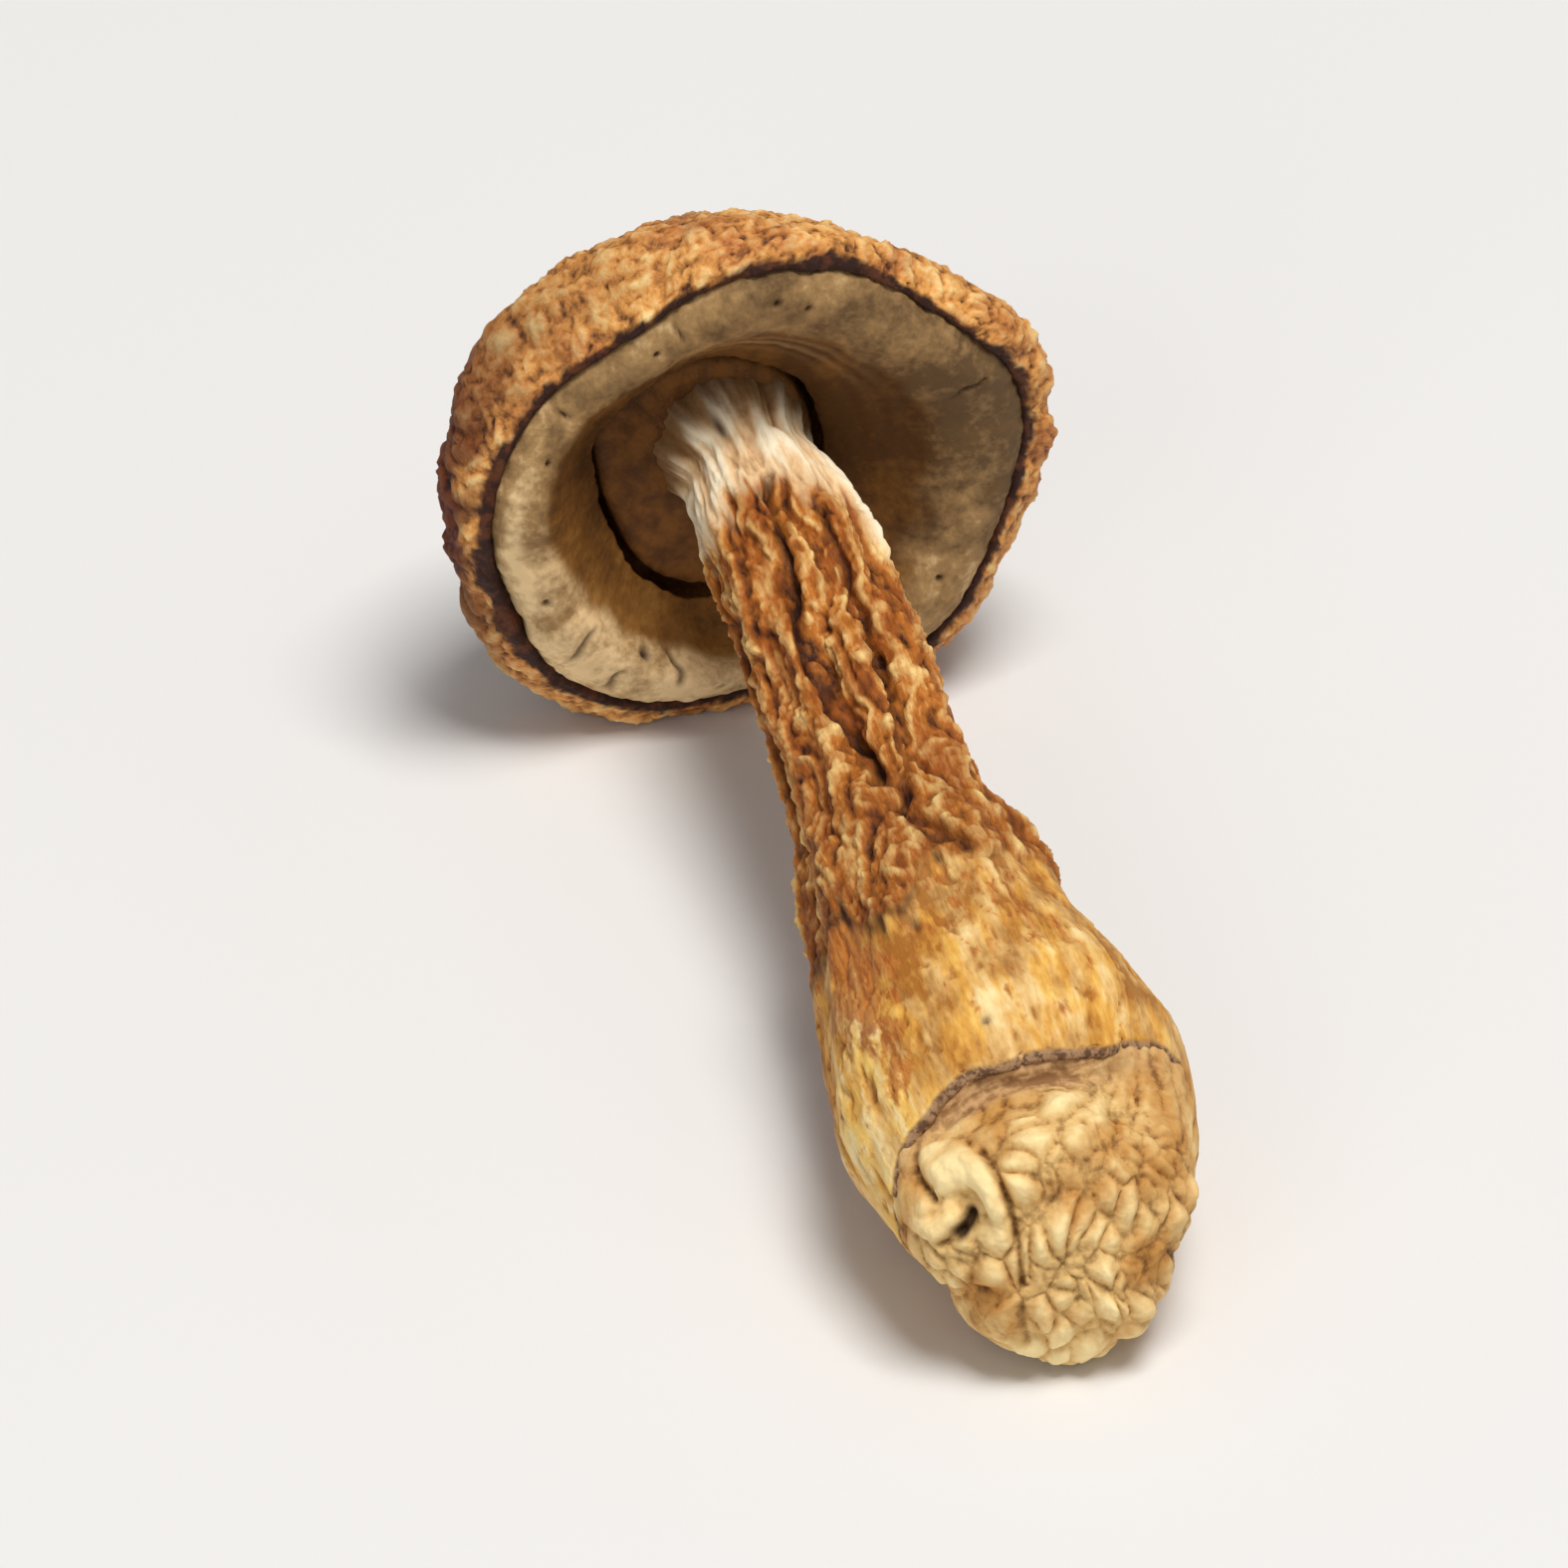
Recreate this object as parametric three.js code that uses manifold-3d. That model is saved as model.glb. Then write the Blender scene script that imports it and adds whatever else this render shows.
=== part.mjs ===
// A dried almond mushroom, whole, lying on its side as it comes to rest on a table.
// Millimetres, +Z up. The foot of the stem points to -Y, the crown of the cap to +Y.
// The mushroom grew as one piece, so cap, veil, stem and foot are joined into one solid.
import * as THREE from 'three';
import { mergeVertices } from 'three/addons/utils/BufferGeometryUtils.js';
import Module from 'manifold-3d';

// Driving dimensions.
const CAP_RADIUS = 11.8;
const CAP_HEIGHT = 8.7;
const RIM_RADIUS = 10.2;
const VEIL_HOLE_RADIUS = 4.9;
const STEM_REACH = 38.6;
const STEM_RADIUS = 3.3;
const FOOT_RADIUS = 5.95;
const FOOT_BULGE = 3.4;
const FOOT_SLANT = 0.42;
const FOOT_SIDE_SLANT = 0.4;
const STEM_ROOT_DEPTH = 5;

// How the mushroom lies: the cap and the foot are both pressed a little flat where they rest.
const CAP_MIDDLE_HEIGHT = 10.95;
const CAP_TILT = THREE.MathUtils.degToRad(2.6);
const RIM_Y = 16;

// How finely each surface is divided.
const CAP_COLUMNS = 96;
const CROWN_ROWS = 19;
const VEIL_ROWS = 27;
const STEM_COLUMNS = 40;
const STEM_ROWS = 42;

// Cap outline as [radius, depth behind the rim], from the crown out to the skin's edge.
const SKIN_OUTLINE = [
  [0, CAP_HEIGHT],
  [4.4, 8.1],
  [7.3, 6.9],
  [9.5, 5.4],
  [11.1, 3.8],
  [CAP_RADIUS, 2.3],
  [11.4, 0.9],
  [10.7, 0.1],
  [RIM_RADIUS, 0],
];

// Where the cap swells further behind its margin than elsewhere, or less: [angle, width, how far].
const CAP_SWELLS = [
  [1.1, 1.1, -1.1],
  [2.2, 0.45, 0.9],
  [3.3, 0.4, -0.6],
  [4.1, 0.4, 0.4],
];

// Where the cap's margin lies further out or in, in the same terms.
const MARGIN_SHIFTS = [
  [2.35, 0.45, -0.4],
  [3.3, 0.35, 0.3],
  [1.25, 0.35, 0.3],
];

// Where the veil is torn wider or less wide, as a share of its hole's radius.
const HOLE_TEARS = [
  [3.65, 0.5, -0.12],
  [4.75, 0.35, 0.1],
  [2.6, 0.3, 0.1],
];

// Where the foot's crumpled end is wider or narrower, as a share of its radius.
const FOOT_END_BULGES = [
  [-0.35, 0.7, -0.12],
  [0.8, 0.35, -0.12],
  [4.55, 0.5, 0.06],
];

// Underside outline in the same terms: the groove inside the skin's edge, the rolled band of the
// veil, its torn free edge, the gap behind that edge, and the floor that the stem grows from.
const VEIL_OUTLINE = [
  [RIM_RADIUS, 0],
  [9.95, 0.55],
  [9.5, -0.1],
  [8.7, -0.55],
  [7.8, -0.35],
  [7.0, 0.3],
  [6.2, 1.0],
  [5.4, 1.55],
  [VEIL_HOLE_RADIUS, 2.0],
  [4.95, 2.35],
  [5.35, 2.8],
  [5.5, 3.6],
  [5.2, 4.2],
  [4.8, 3.9],
  [4.6, 3.1],
  [4.45, 2.5],
  [4.0, 2.3],
  [3.2, 2.3],
  [2.4, 2.2],
  [0, 2.1],
];

// Stem radius by distance in front of the rim.
const STEM_RADII = [
  [-STEM_ROOT_DEPTH, 2.6],
  [-1.2, 2.3],
  [0, 2.5],
  [2, 2.85],
  [5, 3.15],
  [9, 3.25],
  [15, STEM_RADIUS],
  [18.5, 3.6],
  [21.5, 4.25],
  [25, 4.85],
  [29, 5.5],
  [33, 5.9],
  [36, FOOT_RADIUS],
  [STEM_REACH, 5.6],
];

// Where the stem's middle runs: [distance in front of the rim, sideways, height above the table].
const STEM_PATH = [
  [-STEM_ROOT_DEPTH, -1.0, 11.5],
  [-2, -0.2, 11.3],
  [5, 0.4, 10.5],
  [14, 0.5, 9.2],
  [24, 0.25, 7.5],
  [33, 0.75, 5.95],
  [STEM_REACH + FOOT_BULGE, 0.5, 5.2],
];

// A smooth step from 0 at a to 1 at b, with a below or above b.
function fade(a, b, x) {
  const t = THREE.MathUtils.clamp((x - a) / (b - a), 0, 1);
  return t * t * (3 - 2 * t);
}

// A bell of height 1 at 0 that has fallen to about a third at the given width.
function bell(x, width) {
  return Math.exp(-((x / width) ** 2));
}

// The shortest way from angle b to angle a.
function turn(a, b) {
  return Math.atan2(Math.sin(a - b), Math.cos(a - b));
}

// Bells added up round a circle, each given as [angle, width, height].
function bells(places, angle) {
  const heights = places.map(([place, width, height]) => height * bell(turn(angle, place), width));
  return heights.reduce((sum, height) => sum + height);
}

// How far the cap's outline is from a circle, as a factor on its radius.
function capOutline(angle) {
  const broad = 0.02 * Math.cos(2 * angle - 0.6) + 0.013 * Math.cos(3 * angle + 1.1);
  return 1 + broad + 0.03 * Math.sin(5 * angle + 0.1);
}

// How far the torn hole in the veil is from a circle, as a factor on its radius.
function holeOutline(angle) {
  return 1 + 0.08 * Math.cos(2 * angle - 2.6) + bells(HOLE_TEARS, angle);
}

// How far the gap behind the veil's torn edge is closed, which it nearly is at the upper left.
function gapClosed(angle) {
  return 0.75 * bell(turn(angle, 2.3), 0.65);
}

// How much further the cap swells behind its margin at this angle.
function capSwell(angle, depth) {
  return bells(CAP_SWELLS, angle) * fade(0.3, 3.3, depth);
}

// How far the cap's margin waves along the cap's axis.
function marginWave(angle) {
  return 0.32 * Math.sin(3 * angle + 0.8) + 0.2 * Math.sin(5 * angle + 2.0) + 0.12 * Math.sin(8 * angle);
}

// Height of a fold: 1 on its rounded crest, falling to a narrow crease wherever wave is 0.
function fold(wave) {
  const creaseWidth = 0.12;
  return 2 * Math.sqrt(Math.hypot(wave, creaseWidth)) - 1;
}

// Shrivelled relief of the skin: uneven pleats down the side, and folds that crumple the sunken crown.
function skinRelief(angle, radius, depth) {
  const x = radius * Math.cos(angle);
  const y = radius * Math.sin(angle);
  const crown = fade(10, 6, radius);
  const drift = 1.6 * Math.sin(2 * angle + 0.7) + 1.3 * Math.sin(0.9 * depth + 3 * angle);
  const pleats = fold(Math.sin(9 * angle + drift)) * (0.65 + 0.35 * Math.sin(4 * angle + 1));
  const rumples = Math.sin(1.7 * depth + 2.2 * Math.sin(5 * angle + 0.6 * depth));
  const foldsAcross = fold(Math.sin(0.62 * x + 1.5 * Math.sin(0.42 * y + 1.2)));
  const foldsUp = fold(Math.sin(0.55 * y + 1.4 * Math.sin(0.5 * x + 2)));
  return (1 - crown) * (0.26 * pleats + 0.12 * rumples) + crown * (0.32 * (foldsAcross + foldsUp) - 0.35);
}

// Relief of the veil: shallow radial pleats on its rolled band.
function veilRelief(angle, radius) {
  const band = bell(radius - 8.2, 1.3);
  return band * (0.1 * Math.sin(7 * angle + 1.2) + 0.07 * Math.sin(13 * angle + 2 * Math.sin(2 * angle)));
}

// Cap's middle, where the rim's plane meets the cap's axis, and the directions that it is built on.
const rimMiddle = new THREE.Vector3(0, RIM_Y, CAP_MIDDLE_HEIGHT);
const towardsCrown = new THREE.Vector3(0, Math.cos(CAP_TILT), Math.sin(CAP_TILT));
const sideways = new THREE.Vector3(1, 0, 0);
const upAcross = new THREE.Vector3(0, -Math.sin(CAP_TILT), Math.cos(CAP_TILT));

function capPlace(across, up, depth) {
  return rimMiddle.clone()
    .addScaledVector(sideways, across)
    .addScaledVector(upAcross, up)
    .addScaledVector(towardsCrown, depth);
}

// A point on the skin: the outline, made uneven, leaning and shrivelled.
function skinPoint(angle, radius, depth) {
  const offEdge = fade(RIM_RADIUS, RIM_RADIUS + 0.9, Math.max(radius, 9 + depth));
  const relief = skinRelief(angle, radius, depth) * offEdge;
  const out = new THREE.Vector2(radius, 1.6 * (depth - 1.5)).normalize();
  const swell = (capSwell(angle, depth) * radius) / RIM_RADIUS;
  const shift = bells(MARGIN_SHIFTS, angle) * fade(2.5, 0, depth);
  const r = (radius + swell + shift + relief * out.x) * capOutline(angle);
  const d = depth + relief * out.y + marginWave(angle) * fade(6, 0, depth);
  const lean = fade(2, CAP_HEIGHT, depth);
  return capPlace(r * Math.cos(angle) - 0.9 * lean, r * Math.sin(angle) - 0.3 * lean, d);
}

// A point on the underside. The hole in the veil sits a little to one side of the cap's middle.
function veilPoint(angle, radius, depth) {
  const inner = fade(9.6, VEIL_HOLE_RADIUS, radius);
  const uneven = THREE.MathUtils.lerp(capOutline(angle), holeOutline(angle), inner);
  const closed = gapClosed(angle);
  const floorEdge = 0.4 * closed * fade(2.4, 4.4, radius) * fade(5.1, 4.8, radius) * fade(2.1, 2.3, depth);
  const shift = bells(MARGIN_SHIFTS, angle) * fade(8.5, 10, radius);
  const r = (radius + floorEdge + shift) * uneven;
  const wave = THREE.MathUtils.lerp(0.35 * Math.sin(angle), marginWave(angle), fade(5.5, 9.5, radius));
  const d = depth - closed * Math.max(depth - 2.4, 0) + wave - veilRelief(angle, radius);
  return capPlace(r * Math.cos(angle) - 1.4 * inner, r * Math.sin(angle) - 0.4 * inner, d);
}

// Relief of the stem: wavy ridges, three deep furrows, its flared root and the foot's shoulder.
function stemRelief(angle, along) {
  const wander = 0.5 * Math.sin(0.33 * along) + 0.25 * Math.sin(0.8 * along + 2);
  const ridges = 0.15 * Math.cos(9 * angle + 2.2 * wander) + 0.1 * Math.cos(5 * angle - 1.6 * wander + 1);
  const shaft = fade(0, 6, along) * fade(33, 22, along);
  const left = bell(turn(angle, 2.05 + 0.12 * wander), 0.2);
  const right = bell(turn(angle, 1.35 + 0.1 * wander), 0.19);
  const below = bell(turn(angle, -1.2 + 0.2 * wander), 0.2);
  const furrows = 0.75 * left * fade(5, 8, along) * fade(21, 17, along)
    + 0.6 * right * fade(5, 9, along) * fade(24, 20, along)
    + 0.55 * below * fade(2, 8, along) * fade(30, 22, along);
  const shoulder = bell(turn(angle, 0.5), 0.6) * fade(19.4, 22, along) * fade(28, 23, along);
  const flare = fade(-0.6, -2.8, along) * (0.65 + 0.35 * Math.sin(angle));
  return ridges * (0.35 + shaft) - furrows + 0.55 * shoulder + 0.8 * flare;
}

// Radius of the stem with its relief. The foot is wider than tall, with a corner at the upper
// right of its skin's edge, and shrunk in on its left and even more at its lower left.
function stemRadius(angle, along) {
  const broad = 0.12 * fade(23, 33, along) * Math.cos(angle) ** 2;
  const shrunk = 1.7 * bell(turn(angle, 3.75), 0.5) * fade(31, STEM_REACH, along);
  const flatSide = 0.4 * bell(turn(angle, 2.9), 0.6) * fade(14, 24, along);
  const corner = 0.5 * bell(turn(angle, 0.45), 0.35) * fade(33, 37.5, along);
  const uneven = corner - shrunk - flatSide + stemRelief(angle, along);
  return readTable(STEM_RADII, along) * (1 + broad) + uneven;
}

// How far back the skin's edge at the foot lies, mostly at its top and on its right.
function edgeBack(angle, radius) {
  const slant = FOOT_SLANT * THREE.MathUtils.lerp(0.45, 1, fade(-0.6, 0.2, Math.sin(angle)));
  const side = FOOT_SIDE_SLANT * fade(0.35, 1, Math.cos(angle - 0.1));
  return radius * (slant * Math.sin(angle) + side);
}

// Relief of the crumpled foot: folds that run up it, and a curled lip round a pit on its left.
function footRelief(angle, radius) {
  const x = radius * Math.cos(angle);
  const y = radius * Math.sin(angle);
  const folds = fold(Math.sin(1.05 * x + 0.9 * Math.sin(0.75 * y + 1) + 0.8));
  const curl = bell(Math.hypot(x + 2.4, y + 0.6) - 1.7, 0.7) * fade(-2.2, -0.4, y + 0.5 * x + 0.6);
  const pit = bell(x + 2.4, 0.9) * bell(y + 0.8, 0.9);
  return 0.22 * folds * fade(0, 2.5, radius) + 0.4 * curl - 0.6 * pit;
}

// A closed mesh from rows of points, each row a ring, with a single point at both ends.
function closedSurface(first, rings, last) {
  const columns = rings[0].length;
  const points = [first, ...rings.flat(), last];
  const at = (row, column) => 1 + row * columns + (column % columns);
  const end = points.length - 1;
  const faces = [];
  for (let column = 0; column < columns; column += 1) {
    faces.push(0, at(0, column + 1), at(0, column));
    faces.push(end, at(rings.length - 1, column), at(rings.length - 1, column + 1));
    for (let row = 0; row + 1 < rings.length; row += 1) {
      faces.push(at(row, column), at(row + 1, column + 1), at(row + 1, column));
      faces.push(at(row, column), at(row, column + 1), at(row + 1, column + 1));
    }
  }
  const geometry = new THREE.BufferGeometry().setFromPoints(points);
  geometry.setIndex(faces);
  return geometry;
}

// One ring of points round an axis.
function ring(columns, point) {
  return Array.from({ length: columns }, (_, column) => point((2 * Math.PI * column) / columns));
}

// The cap with its veil: the skin from the crown to its edge, then the underside to the middle.
function capGeometry() {
  const spread = (outline, rows) => {
    const points = outline.map(([radius, depth]) => new THREE.Vector2(radius, depth));
    return new THREE.SplineCurve(points).getSpacedPoints(rows);
  };
  const skin = spread(SKIN_OUTLINE, CROWN_ROWS).slice(1);
  const veil = spread(VEIL_OUTLINE, VEIL_ROWS).slice(1, -1);
  const rings = [
    ...skin.map(({ x, y }) => ring(CAP_COLUMNS, (angle) => skinPoint(angle, x, y))),
    ...veil.map(({ x, y }) => ring(CAP_COLUMNS, (angle) => veilPoint(angle, x, y))),
  ];
  const underMiddle = VEIL_OUTLINE[VEIL_OUTLINE.length - 1];
  return closedSurface(skinPoint(0, 0, CAP_HEIGHT), rings, veilPoint(0, ...underMiddle));
}

// Straight-line reading of a table of [place, value] pairs.
function readTable(table, place) {
  const next = table.findIndex(([x]) => x >= place);
  if (next <= 0) return table[next === 0 ? 0 : table.length - 1][1];
  const [[x0, y0], [x1, y1]] = [table[next - 1], table[next]];
  return y0 + ((y1 - y0) * (place - x0)) / (x1 - x0);
}

// The stem with its foot: rings across a gently curved middle line, closed by the crumpled foot.
function stemGeometry() {
  const path = new THREE.CatmullRomCurve3(
    STEM_PATH.map(([along, across, height]) => new THREE.Vector3(across, RIM_Y - along, height)),
  );
  const length = STEM_REACH + STEM_ROOT_DEPTH;
  const whole = length + FOOT_BULGE;
  const place = (along) => {
    const share = (along + STEM_ROOT_DEPTH) / whole;
    const forward = path.getTangentAt(share);
    const side = sideways.clone().addScaledVector(forward, -forward.x).normalize();
    return { middle: path.getPointAt(share), side, up: forward.clone().cross(side), forward };
  };
  const around = ({ middle, side, up }, angle, radius) =>
    middle.clone()
      .addScaledVector(side, radius * Math.cos(angle))
      .addScaledVector(up, radius * Math.sin(angle));

  const footRows = 8;
  const shaftRows = STEM_ROWS - footRows;
  const shaft = Array.from({ length: shaftRows }, (_, row) => {
    const along = -STEM_ROOT_DEPTH + (length * row) / (shaftRows - 1);
    const spot = place(along);
    return ring(STEM_COLUMNS, (angle) => {
      const radius = stemRadius(angle, along);
      const back = edgeBack(angle, radius) * fade(24, STEM_REACH, along);
      return around(spot, angle, radius).addScaledVector(spot.forward, -back);
    });
  });

  const edge = place(STEM_REACH);
  const foot = (angle, share) => {
    const offEdge = fade(0, 0.3, share);
    const waist = (0.35 + 0.5 * bell(turn(angle, 1.75), 0.9)) * bell(share - 0.16, 0.1);
    const section = stemRadius(angle, STEM_REACH) * (1 + bells(FOOT_END_BULGES, angle) * offEdge);
    const radius = section * Math.cos(0.5 * Math.PI * share) ** 0.8 - waist;
    const bulge = FOOT_BULGE * Math.sin(0.5 * Math.PI * share) + footRelief(angle, radius) * offEdge;
    const slanted = FOOT_SLANT * radius * Math.sin(angle);
    const back = THREE.MathUtils.lerp(slanted, edgeBack(angle, radius), fade(1.5, 0, bulge));
    return around(edge, angle, radius)
      .addScaledVector(edge.forward, bulge - back)
      .addScaledVector(edge.up, FOOT_SLANT * bulge);
  };
  const footRings = Array.from({ length: footRows }, (_, row) =>
    ring(STEM_COLUMNS, (angle) => foot(angle, (row + 1) / (footRows + 1))),
  );
  return closedSurface(place(-STEM_ROOT_DEPTH).middle, [...shaft, ...footRings], foot(0, 1));
}

const wasm = await Module();
wasm.setup();

// A three.js mesh as a solid that can be joined and cut.
function asSolid(geometry) {
  const bare = geometry.clone();
  bare.deleteAttribute('normal');
  bare.deleteAttribute('uv');
  const merged = mergeVertices(bare, 1e-5);
  return new wasm.Manifold(new wasm.Mesh({
    numProp: 3,
    vertProperties: new Float32Array(merged.attributes.position.array),
    triVerts: new Uint32Array(merged.index.array),
  }));
}

// A solid back as a three.js mesh.
function asGeometry(solid) {
  const mesh = solid.getMesh();
  const geometry = new THREE.BufferGeometry();
  geometry.setAttribute('position', new THREE.BufferAttribute(mesh.vertProperties, 3));
  geometry.setIndex(new THREE.BufferAttribute(mesh.triVerts, 1));
  geometry.computeVertexNormals();
  return geometry;
}

// Everything below the table top, which presses the resting spots flat.
function belowTable() {
  const size = 200;
  return asSolid(new THREE.BoxGeometry(size, size, size).translate(0, 0, -size / 2));
}

function mushroomGeometry() {
  const whole = asSolid(capGeometry()).add(asSolid(stemGeometry()));
  const geometry = asGeometry(whole.subtract(belowTable()));
  geometry.computeBoundingBox();
  const middle = geometry.boundingBox.getCenter(new THREE.Vector3());
  return geometry.translate(-middle.x, -middle.y, 0);
}

const driedFlesh = new THREE.MeshStandardMaterial({ color: 0xa9713c, roughness: 0.9, metalness: 0 });

const mushroom = new THREE.Mesh(mushroomGeometry(), driedFlesh);
mushroom.name = 'almond_mushroom';

const model = new THREE.Group();
model.add(mushroom);

export default model;
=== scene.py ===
"""The looks of a dried almond mushroom that lies on its side.

The cap shows its underside to the viewer: a shrivelled skin rolled in at the margin, a leathery
veil torn open round the stem, a furrowed stem and a swollen foot with a crumpled end. Lengths are
millimetres until a mesh is written, which is in metres.
"""

import logging
import math
from collections.abc import Callable, Sequence
from dataclasses import dataclass, field
from enum import Enum
from functools import cached_property

import bpy
import numpy as np
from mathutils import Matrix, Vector


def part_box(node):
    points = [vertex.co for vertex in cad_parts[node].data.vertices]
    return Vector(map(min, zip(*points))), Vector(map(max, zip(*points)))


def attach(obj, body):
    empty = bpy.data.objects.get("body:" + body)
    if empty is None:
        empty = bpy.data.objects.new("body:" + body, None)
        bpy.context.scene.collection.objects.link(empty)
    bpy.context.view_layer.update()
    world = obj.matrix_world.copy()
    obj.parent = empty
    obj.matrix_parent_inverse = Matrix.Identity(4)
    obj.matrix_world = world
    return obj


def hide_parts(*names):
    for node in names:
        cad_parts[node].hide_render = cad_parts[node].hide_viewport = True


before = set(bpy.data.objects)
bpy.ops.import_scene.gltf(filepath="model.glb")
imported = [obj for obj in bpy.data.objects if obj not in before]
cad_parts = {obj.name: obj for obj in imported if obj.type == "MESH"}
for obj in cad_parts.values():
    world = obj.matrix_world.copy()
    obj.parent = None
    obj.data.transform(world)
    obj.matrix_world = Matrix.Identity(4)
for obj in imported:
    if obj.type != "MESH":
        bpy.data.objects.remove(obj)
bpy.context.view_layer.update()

LOG = logging.getLogger("almond_mushroom")
NODE = "almond_mushroom"
BODY = "root"
MM = 0.001
FULL_TURN = 2 * math.pi

Array = np.ndarray
Rgb = tuple[float, float, float]


def fade(start: float, end: float, x: Array | float) -> Array:
    """Steps smoothly from 0 to 1.

    Args:
        start: Where the step is 0; it may be above end.
        end: Where the step is 1.
        x: Places to read.

    Returns:
        The step at each place.
    """
    t = np.clip((np.asarray(x) - start) / (end - start), 0.0, 1.0)
    return t * t * (3 - 2 * t)


def bell(x: Array | float, width: float) -> Array:
    """Returns a bell of height 1 at 0 that has fallen to about a third at the given width."""
    return np.exp(-((np.asarray(x) / width) ** 2))


def turn(a: Array, b: Array | float) -> Array:
    """Returns the shortest way from angle b to angle a."""
    return np.arctan2(np.sin(a - b), np.cos(a - b))


def swells(angle: Array, places: Sequence[tuple[float, float, float]]) -> Array:
    """Adds up bells that stand round a form.

    Args:
        angle: Angles to read.
        places: The bells as angle, width and height.

    Returns:
        The bells' sum at each angle.
    """
    return sum(rise * bell(turn(angle, at), wide) for at, wide, rise in places)


def fold(wave: Array) -> Array:
    """Returns a fold's height: 1 on its rounded crest, low in the crease wherever wave is 0."""
    crease_width = 0.12
    return 2 * np.sqrt(np.hypot(wave, crease_width)) - 1


def mix(a: Array | float, b: Array | float, share: Array | float) -> Array:
    """Returns a where share is 0 and b where it is 1."""
    return a + (b - a) * share


def unit(vectors: Array) -> Array:
    """Returns the vectors scaled to length 1."""
    return vectors / np.maximum(np.linalg.norm(vectors, axis=-1, keepdims=True), 1e-12)


class Curve:
    """A Catmull-Rom curve through a few given points."""

    STEPS = 40

    def __init__(self, points: Sequence[Sequence[float]]) -> None:
        """Draws the curve finely.

        Args:
            points: The points that the curve goes through.
        """
        p = np.array(points, float)
        p = np.vstack([p[:1], p, p[-1:]])
        t = np.linspace(0, 1, self.STEPS, endpoint=False)[:, None]
        pieces = [self._piece(p[i : i + 4], t) for i in range(len(p) - 3)]
        self.line = np.vstack([*pieces, p[-1:]])
        steps = np.linalg.norm(np.diff(self.line, axis=0), axis=1)
        self.length = float(steps.sum())
        self.share = np.concatenate([[0], np.cumsum(steps)]) / self.length

    @staticmethod
    def _piece(p: Array, t: Array) -> Array:
        """Returns the stretch between the two middle points of four."""
        before, after = (p[2] - p[0]) / 2, (p[3] - p[1]) / 2
        bend = 2 * (p[1] - p[2]) + before + after
        slope = 3 * (p[2] - p[1]) - 2 * before - after
        return ((bend * t + slope) * t + before) * t + p[1]

    def at(self, share: Array) -> Array:
        """Returns the points at the given shares of the curve's length."""
        return np.stack([np.interp(share, self.share, c) for c in self.line.T], axis=-1)

    def spaced(self, steps: int) -> Array:
        """Returns points at even steps from the curve's start to its end."""
        return self.at(np.linspace(0, 1, steps + 1))

    def heading(self, share: Array) -> Array:
        """Returns the curve's direction at the given shares of its length."""
        gap = 0.01
        return unit(self.at(np.clip(share + gap, 0, 1)) - self.at(np.clip(share - gap, 0, 1)))


TABLE = 4096


def scattered(cells: Array) -> Array:
    """Returns a place in the seeded tables for each whole-numbered cell of space."""
    mixed = cells * np.array([73856093, 19349663, 83492791])
    return (mixed[..., 0] ^ mixed[..., 1] ^ mixed[..., 2]) % TABLE


class Grain:
    """Smooth seeded noise in space, for relief without a direction."""

    def __init__(self, seed: int) -> None:
        """Draws the noise's slopes.

        Args:
            seed: The draw's seed.
        """
        draw = np.random.default_rng(seed)
        self.slopes = unit(draw.normal(size=(TABLE, 3)))

    def __call__(self, points: Array, size: float) -> Array:
        """Reads the noise.

        Args:
            points: Places in millimetres, three numbers each.
            size: Width of a bump in millimetres.

        Returns:
            Values of about -1 to 1, one for each place.
        """
        p = points / size
        cell = np.floor(p).astype(np.int64)
        f = p - cell
        ease = f * f * f * (f * (f * 6 - 15) + 10)
        total = np.zeros(p.shape[:-1])
        for corner in np.ndindex(2, 2, 2):
            slope = self.slopes[scattered(cell + np.array(corner))]
            weight = np.prod(np.where(np.array(corner) == 1, ease, 1 - ease), axis=-1)
            total += weight * np.sum(slope * (f - corner), axis=-1)
        return 1.7 * total

    def layers(self, points: Array, size: float, count: int, gain: float = 0.5) -> Array:
        """Adds up ever finer noise.

        Args:
            points: Places in millimetres.
            size: Width of the largest bumps.
            count: How many layers, each half the size of the one before.
            gain: Height of each layer against the one before.

        Returns:
            Values of about -1 to 1.
        """
        heights = [gain**i for i in range(count)]
        drawn = [h * self(points + 17.3 * i, size / 2**i) for i, h in enumerate(heights)]
        return sum(drawn) / sum(heights)

    def crests(self, points: Array, size: float, count: int, gain: float = 0.5) -> Array:
        """Adds up ever finer thin crests that wander and meet.

        Args:
            points: Places in millimetres.
            size: Width between the largest crests.
            count: How many layers, each half the size of the one before.
            gain: Height of each layer against the one before.

        Returns:
            Values of 0 to 1.
        """
        heights = [gain**i for i in range(count)]
        near = [1 - 2.2 * np.abs(self(points + 31.7 * i, size / 2**i)) for i in range(count)]
        return sum(h * np.clip(n, 0, 1) ** 1.5 for h, n in zip(heights, near)) / sum(heights)

    def sway(self, points: Array, size: float, reach: float) -> Array:
        """Moves places about smoothly, so that what is drawn there wanders.

        Args:
            points: Places in millimetres.
            size: Width of a bend.
            reach: How far the places move.

        Returns:
            The moved places.
        """
        aside = [self(points + 53.1 * i, size) for i in range(1, 4)]
        return points + reach * np.stack(aside, axis=-1)


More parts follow.
